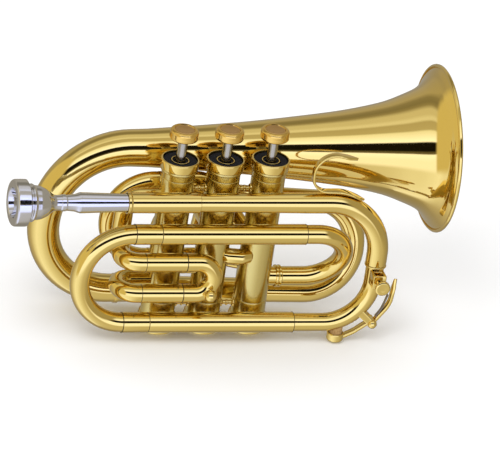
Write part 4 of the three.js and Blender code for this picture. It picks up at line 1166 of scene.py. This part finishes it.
    def _knob(self, centre: Vector, radius: float) -> None:
        """The ball knob on the front of the first slide's bow."""
        foot = centre + Vector((1, 0, -1)).normalized() * radius
        surface, ball = -self.small_crook / 2, self.knob_radius
        middle = surface - self.knob_stand_off
        arc = (math.radians(a) for a in range(10, 150, 10))
        outline = [
            (0, middle - ball), *((ball * math.sin(a), middle - ball * math.cos(a)) for a in arc),
            *stepped(0, surface, self.knob_neck)]
        piece = turned("first_knob", outline, foot, Axis.Y, 48)
        self.bench.brass(piece, "first_slide_knob", body="first_valve_slide")

    def _second(self) -> None:
        """The second valve's slide behind."""
        valve, x = self._valve(2), self._valve(2).x
        heights = {level: Place.of(f"second_sleeve_{level}").middle.z for level in ("upper", "lower")}
        end = Place.of("second_sleeve_upper").high.y
        for level, z in heights.items():
            route = Route([(x, self.port_reach, z), (x, end, z)])
            self.bench.tube(
                f"second_tube_{level}", route, self.second_sleeve, self.small_wall,
                f"second_sleeve_{level}", seats=(valve, None))
        high, low = (Vector((x, end + self.sleeve_gap, heights[level])) for level in ("upper", "lower"))
        self._u_slide("second", high, low, Vector((0, 1, 0)), self.second_straight,
                      self.second_leg_reach, self.second_crook, self.second_leg)

    def _third(self) -> None:
        """The third valve's slide, whose bow stands upright behind the first valve."""
        y, valve, port = self.third_y, self._valve(3), self.third_port
        high, low = self.third_high, self.third_low
        x, left = valve.x, Place.of("third_sleeve_lower").low.x
        above = Route(
            [(left, y, high), (self.third_drop_x, y, high), (x, y, port), (x, self.port_reach, port)],
            [self.third_drop_bend, self.third_port_bend])
        below = Route([(left, y, low), (x, y, low), (x, self.port_reach, low)], [self.third_port_bend])
        self._sleeve("third_high_tube", above, "third_sleeve_upper", valve)
        self._sleeve("third_low_tube", below, "third_sleeve_lower", valve)
        start = left - self.sleeve_gap
        self._u_slide("third", Vector((start, y, high)), Vector((start, y, low)), Vector((-1, 0, 0)),
                      start - self.third_bend_x, self.leg_reach, self.small_crook, self.small_leg)


@dataclass
class Bell:
    """The bell, its bow at the left and its tail behind the valves."""

    bench: Bench
    casings: list[Casing]
    y: float = 28.5
    z: float = 100.6
    rim: float = 96.8
    wall: float = 0.8
    bead: float = 2.6
    lap: float = 0.4
    bow_large: float = 22.2
    bow_small: float = 16.3
    tail_small: float = 11.0
    bow_x: float = -93.6
    bow_upper_bend: float = 45.5
    bow_lower_bend: float = 42.0
    bow_end_x: float = -45.0
    tail_y: float = 26.0
    right_y: float = 20.0
    low_z: float = 12.1
    tail_x: float = 92.5
    top_y: float = 27.5
    top_z: float = 65.6
    port_z: float = 50.0
    port_reach: float = 7.5
    drop_x: float = -8.0
    drop_z: float = 73.0
    drop_bend: float = 12.0
    tube_wall: float = 0.6
    bow_ease: float = 0.85
    tail_ease: float = 0.6
    band_width: float = 2.4
    flare_shares: Profile = field(default_factory=lambda: [
        (0.2295, 0), (0.271, 0.178), (0.318, 0.348), (0.383, 0.521), (0.439, 0.649), (0.492, 0.737),
        (0.555, 0.816), (0.631, 0.8765), (0.727, 0.937), (0.835, 0.971), (0.915, 0.986)])

    def build(self) -> None:
        """Makes the bell, the bow and the tail."""
        self._flare()
        self._bow()
        self._tail()

    def _tail_point(self, x: float) -> tuple[float, float, float]:
        """The tail's lower run at a place along the row."""
        share = (x - self.bow_x) / (self.tail_x - self.bow_x)
        return (x, self.tail_y + (self.right_y - self.tail_y) * share, self.low_z)

    def _flare(self) -> None:
        """The flare with its rolled rim."""
        place = Place.of("bell")
        length, r = place.high.x - self.bead / 2 - place.low.x, self.rim / 2
        bead = self.bead / 2
        outside = eased([(a * r, s * length) for a, s in self.flare_shares] + [(r - bead, length - 0.2)], 8)
        inside = [(a - self.wall, s) for a, s in outside[:-1]]
        centre = (r - bead, length)
        roll = [
            (centre[0] + bead * math.cos(a), centre[1] + bead * math.sin(a))
            for a in (math.radians(d) for d in range(-100, 175, 20))]
        outline = outside[:-1] + roll + inside[::-1]
        piece = turned("bell_flare", outline, (place.low.x, self.y, self.z), Axis.X, 128)
        self.bench.brass(piece, "bell")

    def _taper(self, start: float, end: float, ease: float) -> Size:
        """A diameter that goes from one size to another along a tube."""
        return lambda share: start + (end - start) * share ** ease

    def _bow(self) -> None:
        """The fat bow at the left."""
        start, x, end = Place.of("bell").low.x + self.lap, self.bow_x, self._tail_point(self.bow_end_x)
        route = Route(
            [(start, self.y, self.z), (x, self.y, self.z), (x, self.tail_y, self.low_z), end],
            [self.bow_upper_bend, self.bow_lower_bend])
        size = self._taper(self.bow_large, self.bow_small, self.bow_ease)
        material = LACQUERED_BRASS.material()
        piece = self.bench.bender.bend("bow_of_bell", route, size, self.tube_wall, material, sides=56)
        self.bench.brass(piece, "bell_bow")
        self.bench.collar(
            "bow_band", self.bow_small + 0.9, self.bow_small - 0.1, self.bow_end_x - self.band_width,
            self.bow_end_x - 0.1, (0, end[1], self.low_z), Axis.X)

    def _tail(self) -> None:
        """The tail under, round and back into the first valve."""
        valve, y, z, bend = self.casings[0], self.top_y, self.port_z, self.drop_bend
        start = self._tail_point(self.bow_end_x + 0.3)
        corner, top = Vector(self._tail_point(self.tail_x)), Vector((self.tail_x, y, self.top_z))
        radius = (corner - top).length / 2
        route = Route(
            [start, corner, top, (self.drop_x, y, self.drop_z), (valve.x, y, z),
             (valve.x, self.port_reach, z)],
            [radius, radius, bend, bend])
        size = self._taper(self.bow_small, self.tail_small, self.tail_ease)
        self.bench.tube("tail_tube", route, size, self.tube_wall, "bell_tail", seats=(None, valve))


@dataclass
class Fittings:
    """The hook, the lyre holder, the water key and the braces."""

    bench: Bench
    casings: list[Casing]
    bow: OuterBow
    hook_width: float = 6.0
    hook_thickness: float = 1.7
    hook_tip: tuple[float, float] = (73.0, 117.4)
    hook_top_end: float = 61.5
    hook_base_z: float = 96.9
    hook_base_end: float = 68.0
    hook_bends: tuple[float, ...] = (8.0, 11.8, 9.5, 24.0)
    least_end: float = 0.12
    lyre_hole: float = 4.8
    lyre_hole_depth: float = 3.5
    lyre_edge: float = 0.45
    screw_profile: Steps = (
        (0, 0.25), (1.6, 0.1), (3.6, 0), (4.4, 0.5), (4.4, 2.1), (3.7, 2.6), (2.4, 2.8), (1.9, 3.6),
        (1.6, 4.4))
    screw_radius: float = 1.6
    barrel_profile: Steps = (
        (1.3, -3.2), (2.4, -3.2), (2.5, -2.6), (2.2, -2.1), (2.2, 2.1), (2.5, 2.6), (2.4, 3.2), (1.3, 3.2))
    key_finger: Steps = ((105.4, 24.0), (106.8, 40.0))
    key_leaf: Steps = ((101.0, 20.5), (103.6, 30.0))
    key_arm: tuple[float, float] = (86.0, 6.2)
    cup_x: float = 75.7
    cup_radius: float = 4.95
    cup_height: float = 5.0
    cup_edge: Steps = ((-0.35, 0.35), (0, 1.1), (0, 4.4), (-0.25, 5.0), (-0.9, 5.0), (-0.9, 2.5))
    cup_flat: float = 1.2
    ear_reach: float = 4.35
    ear_offset: float = 4.25
    bar_heights: tuple[tuple[str, float], ...] = (("high", 90.0), ("low", 16.0))
    seat_places: tuple[tuple[str, float, float], ...] = (
        ("lead", 89.3, 6.1), ("high", 68.9, 5.95), ("low", 12.1, 5.95))
    tail_post_start: float = 9.4
    tail_post_z: float = 12.1
    bar_overlap: float = 0.3

    def build(self) -> None:
        """Makes every fitting."""
        self._hook()
        self._lyre_holder()
        self._water_key()
        self._braces()

    def strip(self, name: str, route: Route, width: Size,
              thickness: Size) -> bpy.types.Object:
        """Sweeps a flat, round-edged strip along a line in an upright plane.

        Args:
            name: The piece's name.
            route: The centre line, at one Y.
            width: Its width along Y at a share of its length.
            thickness: Its thickness at a share of its length.

        Returns:
            The new object, smooth and closed.
        """
        across, sides = Vector((0, 1, 0)), 20
        work = bmesh.new()
        rings = []
        for station in route.stations:
            share = station.travelled / route.length
            w, t = width(share) / 2, thickness(share) / 2
            up = station.heading.cross(across).normalized()
            ring = []
            for i in range(sides):
                a = 2 * math.pi * i / sides
                c, s = math.cos(a), math.sin(a)
                x = math.copysign(abs(c) ** 0.45, c) * w
                y = math.copysign(abs(s) ** 0.6, s) * t
                ring.append(work.verts.new((station.point + across * x + up * y) * MM))
            rings.append(ring)
        for low, high in zip(rings, rings[1:]):
            bridge(work, low, high)
        work.faces.new(rings[0][::-1])
        work.faces.new(rings[-1])
        return object_of(name, work, STRIP_SHARP_DEGREES)

    def _rounded_end(self, size: float, share: float, start: bool = True) -> float:
        """The share of its size that a strip keeps towards its rounded end or ends.

        Args:
            size: How much of the length a rounding takes.
            share: The place along the length.
            start: Whether the start is rounded as well as the end.

        Returns:
            One away from the ends, and less towards them.
        """
        nearest = min(share if start else 1.0, 1 - share)
        if nearest >= size:
            return 1.0
        return max(self.least_end, math.sqrt(max(0.0, 1 - (1 - nearest / size) ** 2)))

    def _hook(self) -> None:
        """The finger hook, broad at its foot and rounded at both ends."""
        place = Place.of("finger_hook")
        y = self.bow.y
        left, top = place.low.x + 1, place.high.z - 1
        base, tip = self.hook_base_z, self.hook_tip
        route = Route(
            [(tip[0], y, tip[1]), (self.hook_top_end, y, top), (left, y, top), (left, y, base),
             (self.hook_base_end, y, base), (place.high.x - 0.4, y, place.low.z + 0.9)], self.hook_bends)

        def width(share: float) -> float:
            """The strip's width at a share of its length."""
            waist = 1 - 0.3 * math.sin(math.pi * min(1.0, share / 0.8))
            return self.hook_width * waist * self._rounded_end(0.035, share)

        piece = self.strip("hook_strip", route, width, lambda s: self.hook_thickness * (1 - 0.25 * s))
        self.bench.brass(piece, "finger_hook")

    def _lyre_holder(self) -> None:
        """The square socket and its thumb screw."""
        place, screw = Place.of("lyre_holder"), Place.of("lyre_screw")
        x, y, z = screw.middle
        size, middle = place.high - place.low, place.middle
        holder = block("lyre_block", middle, size)
        hole_size = (self.lyre_hole, self.lyre_hole, size.z + 6)
        cutter = block("lyre_hole", (x, place.low.y + self.lyre_hole_depth, middle.z), hole_size)
        cut = holder.modifiers.new("hole", "BOOLEAN")
        cut.object = cutter
        cut.operation = "DIFFERENCE"
        edge = holder.modifiers.new("edge", "BEVEL")
        edge.width = self.lyre_edge * MM
        edge.segments = 3
        baked(holder)
        bpy.data.objects.remove(cutter)
        smooth(holder.data, STRIP_SHARP_DEGREES)
        self.bench.brass(holder, "lyre_holder")
        span, r = screw.high.y - screw.low.y, self.screw_radius
        outline = [*self.screw_profile, (r, span), (0, span)]
        piece = turned("lyre_screw_turned", softened(outline, 0.25), (x, screw.low.y, z), Axis.Y, 48)
        self.bench.brass(piece, "lyre_screw")

    def _water_key(self) -> None:
        """The saddle, pin, lever, cup, cork and springs of the water key."""
        lever, pin = Place.of("water_key_lever"), Place.of("water_key_pin")
        x, z, y = pin.middle.x, pin.middle.z, self.bow.y
        body = "water_key"
        barrel = softened([*self.barrel_profile], 0.15)
        self.bench.brass(turned("key_barrel", barrel, (x, y, z), Axis.Y, 40), "water_key_lever", body=body)
        finger = Route([(x + 1.2, y, z - 1.4), *((a, y, b) for a, b in self.key_finger)], [16.0])
        piece = self.strip(
            "key_finger", finger, lambda s: (3.6 + 1.4 * s) * self._rounded_end(0.05, s, start=False),
            lambda s: 2.4 - 0.5 * s)
        self.bench.brass(piece, body=body)
        cup_x, cup_low, r = self.cup_x, lever.low.z, self.cup_radius
        bend = self.key_arm
        arm = Route([(x - 1.4, y, z - 0.9), (bend[0], y, bend[1]), (cup_x + 3.2, y, cup_low + 1.9)], [14.0])
        piece = self.strip("key_arm", arm, lambda s: 4.4 - 0.4 * s, lambda _: 2.3)
        self.bench.brass(piece, body=body)
        cup = [(0, 0), (r - self.cup_flat, 0), *stepped(r, 0, self.cup_edge), (0, self.cup_height / 2)]
        self.bench.brass(turned("key_cup", softened(cup, 0.2), (cup_x, y, cup_low)), body=body)
        CORK.put_on(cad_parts["water_key_cork"])
        ear = self.ear_reach
        arc = (math.radians(d) for d in range(15, 115, 12))
        outline = [
            (0, -ear - 2.7), *((2.75 * math.sin(a), -ear - 0.2 - 2.5 * math.cos(a)) for a in arc),
            (1.0, -ear + 0.2), *stepped(0, ear, ((1.0, 0.6), (0.6, 0.9), (0, 0.9)))]
        self.bench.brass(turned("key_pin", outline, (x, y, z), Axis.Y, 40), "water_key_pin")
        self._saddle(x, y, z)
        leaf = Route([(x + 2.6, y, z + 2.9), *((a, y, b) for a, b in self.key_leaf)], [20.0])
        piece = self.strip("key_leaf", leaf, lambda _: 2.6, lambda _: 0.55)
        self.bench.fit(piece, body, SPRING_STEEL, "spring_steel", "water_key_spring")

    def _saddle(self, x: float, y: float, z: float) -> None:
        """The saddle that carries the key's pin, bent round the bow."""
        centre = Vector((self.bow.bow_x - self.bow.lower_bend, y, self.bow.low_z + self.bow.lower_bend))
        outward = (Vector((x, y, z)) - centre).normalized()
        tube = centre + outward * self.bow.lower_bend
        for side, label in ((-1, "front"), (1, "back")):
            shift = Vector((0, side * self.ear_offset, 0))
            route = Route([tube + shift + outward * 1.0, Vector((x, y, z)) + shift + outward * 1.4])
            piece = self.strip(f"key_ear_{label}", route, lambda s: 1.5, lambda s: 4.6 - 0.8 * s)
            self.bench.brass(piece, *(("water_key_saddle",) if side < 0 else ()))

    def _braces(self) -> None:
        """The bars between the casings, the seats of the front tubes and the posts to the bell."""
        for a, b in zip(self.casings, self.casings[1:]):
            self._bars(a, b)
        for casing in (self.casings[0], self.casings[2]):
            self._posts(casing)

    def _bars(self, first: Casing, second: Casing) -> None:
        """The two turned bars between neighbouring casings."""
        start = first.x + first.diameter / 2 - self.bar_overlap
        span = second.x - second.diameter / 2 + self.bar_overlap - start
        half = ((2.6, 0), (2.4, 0.9), (1.35, 1.5))
        bead = ((1.25, -0.8), (1.8, -0.5), (1.8, 0.5), (1.25, 0.8))
        far = tuple((r, -rise) for r, rise in reversed(half))
        outline = [(0, 0), *half, *stepped(0, span / 2, bead), *stepped(0, span, far), (0, span)]
        for level, z in self.bar_heights:
            name = f"bar_{level}_{first.number}{second.number}"
            self.bench.brass(turned(name, softened(outline, 0.2), (start, 0, z), Axis.X, 32))

    def _posts(self, casing: Casing) -> None:
        """The seats of the front tubes and the two posts behind, on one outer casing."""
        n, x = casing.number, casing.x
        for level, z, half in self.seat_places:
            start, end = self.bow.y + half - 0.5, -casing.diameter / 2 + 0.4
            outline = [(0, start), (3.4, start), (2.4, (start + end) / 2), (3.0, end), (0, end)]
            self.bench.brass(turned(f"seat_{level}_{n}", outline, (x, 0, z), Axis.Y, 32))
        near, tail = self.tail_post_start, Place.of(f"valve_casing_{n}").high.y
        outline = softened([
            (0, near), (2.6, near), (1.6, near + 1.2), (1.6, tail - 0.8), (2.4, tail), (0, tail)], 0.2)
        self.bench.brass(turned(f"tail_post_{n}", outline, (x, 0, self.tail_post_z), Axis.Y, 32))
        post = Place.of(f"bell_brace_{n}")
        low, high = post.low.y - 0.3, post.high.y
        foot, head = ((0, 0), (3.4, 0), (3.0, 0.8), (1.9, 1.6)), ((1.9, -1.4), (3.0, -0.6), (3.2, 0), (0, 0))
        outline = softened(stepped(0, low, foot) + stepped(0, high, head))
        piece = turned(f"bell_post_{n}", outline, (x, 0, post.middle.z), Axis.Y, 36)
        self.bench.brass(piece, f"bell_brace_{n}")


@dataclass
class Studio:
    """The floor, the soft light, the cards that the metal mirrors, and the camera.

    The floor, the dome and the lamp are sized in metres, the camera's target and distance in millimetres.
    """

    target: tuple[float, float, float] = (13.1, -21.4, 77.4)
    distance: float = 12000.0
    focal_length: float = 1516.0
    sensor_width: float = 36.0
    clip: tuple[float, float] = (0.05, 40.0)
    floor_paint: Paint = Paint("floor_paint", (0.97, 0.97, 0.97))
    floor_drop: float = 0.0001
    floor_radius: float = 9.0
    dome_radius: float = 8.82
    lamp_place: tuple[float, float, float] = (-0.9, -1.2, 1.9)
    lamp_width: float = 1.2
    lamp_watts: float = 14.0
    table_turn: float = math.atan2(0.327, 0.945)
    view_axes: tuple[Vector, Vector, Vector] = (
        Vector((0.9563, -0.2580, 0.1376)), Vector((0.0, 0.4706, 0.8824)), Vector((-0.2924, -0.8438, 0.45)))
    left_end: tuple[float, float] = (-0.76, -0.64)
    right_end: tuple[float, float] = (0.46, 0.62)
    left_level: float = 0.8
    left_tint: Colour = (1.0, 0.9, 0.62)
    right_level: float = 0.46
    table_edge: tuple[float, float] = (-0.1, 0.1)
    table_edge_drop: float = 0.3
    table_edge_reach: float = 0.3
    card_levels: list[tuple[float, float]] = field(default_factory=lambda: [
        (0, 1.35), (14, 1.5), (16, 0.2), (20, 0.12), (22.5, 0.01), (40, 0.01), (43, 1.55), (50, 1.4),
        (64, 1.15), (68, 0.64), (84, 0.6), (89, 0.95), (93, 0.95), (100, 0.8), (112, 0.78), (122, 0.36),
        (130, 0.28), (141, 0.32), (152, 0.52), (180, 0.45)])
    table_levels: list[tuple[float, float]] = field(default_factory=lambda: [
        (-180, 0.35), (-130, 0.42), (-97, 0.62), (-67, 0.97), (-41, 1.2), (-12, 1.1), (12, 0.92), (36, 0.72),
        (60, 0.66), (80, 0.56), (106, 0.42), (140, 0.35), (180, 0.35)])
    dim_tint: Colour = (1.0, 0.92, 0.77)
    bright_tint: Colour = (1.0, 1.06, 1.36)
    glare_tint: Colour = (1.0, 1.1, 1.85)
    cool_from: float = 0.5
    cool_over: float = 0.6
    glare_from: float = 1.15
    glare_over: float = 0.35

    def build(self) -> None:
        """Sets up the whole studio."""
        self._floor()
        self._world()
        self._cards()
        self._lamp()
        self._camera()
        bpy.context.scene.view_settings.view_transform = "Standard"

    def _floor(self) -> None:
        """A plain pale floor under the caps. The metal mirrors the soft table of the dome in its place."""
        work = bmesh.new()
        bmesh.ops.create_circle(work, cap_ends=True, radius=self.floor_radius, segments=64)
        floor = object_of("floor", work)
        floor.location.z = min(0.0, CAD_BOX[0].z) - self.floor_drop
        floor.visible_glossy = False
        self.floor_paint.put_on(floor)

    def _world(self) -> None:
        """An even white sky."""
        world = bpy.data.worlds.new("studio")
        world.use_nodes = True
        sky = world.node_tree.nodes["Background"]
        sky.inputs["Color"].default_value = (1, 1, 1, 1)
        sky.inputs["Strength"].default_value = 1.0
        bpy.context.scene.world = world

    def _tinted(self, level: float, peak: float) -> tuple[float, ...]:
        """The colour of a level as a share of the peak: warm where dim, cool where bright."""
        cool = clamped((level - self.cool_from) / self.cool_over)
        glare = clamped((level - self.glare_from) / self.glare_over)
        tints = zip(self.dim_tint, self.bright_tint, self.glare_tint)
        tint = ((d + (b - d) * cool) * (1 - glare) + g * glare for d, b, g in tints)
        return (*(level * t / peak for t in tint), 1)

    def _ramp(self, wires: Wiring, angle: bpy.types.NodeSocket, levels: list[tuple[float, float]],
              peak: float) -> bpy.types.NodeSocket:
        """A colour ramp over an angle.

        Args:
            wires: The tree that it goes into.
            angle: The angle in radians.
            levels: The levels, each with its angle in degrees.
            peak: The brightness that the ramp's colours are shares of.

        Returns:
            The ramp's colour.
        """
        first, last = math.radians(levels[0][0]), math.radians(levels[-1][0])
        ramp = wires.add("ShaderNodeValToRGB", {"Fac": wires.spread(angle, first, last)})
        elements = ramp.color_ramp.elements
        while len(elements) < len(levels):
            elements.new(1.0)
        for element, (degrees, level) in zip(elements, levels):
            element.position = (math.radians(degrees) - first) / (last - first)
            element.color = self._tinted(level, peak)
        return ramp.outputs["Color"]

    def _cards(self) -> None:
        """A dome that only reflections see: soft boxes over the horn, dark gaps between, a table below."""
        work = bmesh.new()
        bmesh.ops.create_uvsphere(work, u_segments=96, v_segments=48, radius=self.dome_radius)
        dome = object_of("reflection_cards", work)
        for ray in ("camera", "diffuse", "shadow", "transmission", "volume_scatter"):
            setattr(dome, f"visible_{ray}", False)
        glow = bpy.data.materials.new("reflection_cards")
        glow.use_nodes = True
        nodes, wires = glow.node_tree.nodes, Wiring(glow.node_tree)
        nodes.remove(nodes["Principled BSDF"])
        peak = max(level * max(self.glare_tint) for _, level in self.card_levels + self.table_levels)
        where = wires.add("ShaderNodeTexCoord").outputs["Object"]
        unit = wires.add("ShaderNodeVectorMath", {0: where}, operation="NORMALIZE").outputs[0]
        x, y, z = wires.add("ShaderNodeSeparateXYZ", {0: unit}).outputs
        over = wires.maths("ARCTAN2", wires.maths("MAXIMUM", z, 0.0), wires.maths("MULTIPLY", y, -1.0))
        upper = self._ramp(wires, over, self.card_levels, peak)
        left = (*(self.left_level * t / peak for t in self.left_tint), 1)
        right = (*(self.right_level * t / peak for t in self.dim_tint), 1)
        upper = wires.mixed(wires.spread(x, *self.left_end, kind="SMOOTHSTEP"), left, upper)
        upper = wires.mixed(wires.spread(x, *self.right_end, kind="SMOOTHSTEP"), upper, right)
        turn = wires.add(
            "ShaderNodeVectorRotate", {"Angle": self.table_turn, "Vector": unit}, rotation_type="Z_AXIS")
        across, depth, _ = wires.add("ShaderNodeSeparateXYZ", {0: turn.outputs[0]}).outputs
        round_table = wires.maths("ARCTAN2", across, wires.maths("MULTIPLY", depth, -1.0))
        table = self._ramp(wires, round_table, self.table_levels, peak)
        drop = wires.spread(y, -self.table_edge_reach, 0.0, self.table_edge_drop, 0.0, kind="SMOOTHSTEP")
        above = wires.spread(wires.maths("ADD", z, drop), *self.table_edge, kind="SMOOTHSTEP")
        glowing = {"Strength": peak, "Color": wires.mixed(above, table, upper)}
        wires.feed(nodes["Material Output"], {"Surface": wires.add("ShaderNodeEmission", glowing).outputs[0]})
        dome.data.materials.append(glow)

    def _lamp(self) -> None:
        """A broad soft lamp from the upper left front, for the shadow under the horn."""
        data = bpy.data.lights.new("soft_lamp", "AREA")
        data.shape = "DISK"
        data.size = self.lamp_width
        data.energy = self.lamp_watts
        lamp = object_from("soft_lamp", data)
        lamp.location = self.lamp_place
        lamp.rotation_mode = "QUATERNION"
        lamp.rotation_quaternion = (-lamp.location).to_track_quat("-Z", "Y")
        lamp.visible_glossy = False

    def _camera(self) -> None:
        """The camera at the photograph's viewing angle, far off with a long lens."""
        data = bpy.data.cameras.new("camera")
        data.sensor_width = self.sensor_width
        data.lens = self.focal_length
        data.clip_start, data.clip_end = self.clip
        camera = object_from("camera", data)
        right, up, back = self.view_axes
        pose = Matrix((right, up, back)).transposed().to_4x4()
        pose.translation = (Vector(self.target) + back.normalized() * self.distance) * MM
        camera.matrix_world = pose
        bpy.context.scene.camera = camera


def main() -> None:
    """Builds the studio and the horn."""
    logging.basicConfig(level=logging.INFO, format="%(name)s: %(message)s")
    Studio().build()
    bench = Bench()
    casings = [Casing(number, bench) for number in (1, 2, 3)]
    for casing in casings:
        casing.build()
    Mouthpiece(bench).build()
    bow = OuterBow(bench)
    bow.build()
    ValveTubing(bench, casings).build()
    Bell(bench, casings).build()
    Fittings(bench, casings, bow).build()


if __name__ == "__main__":
    main()
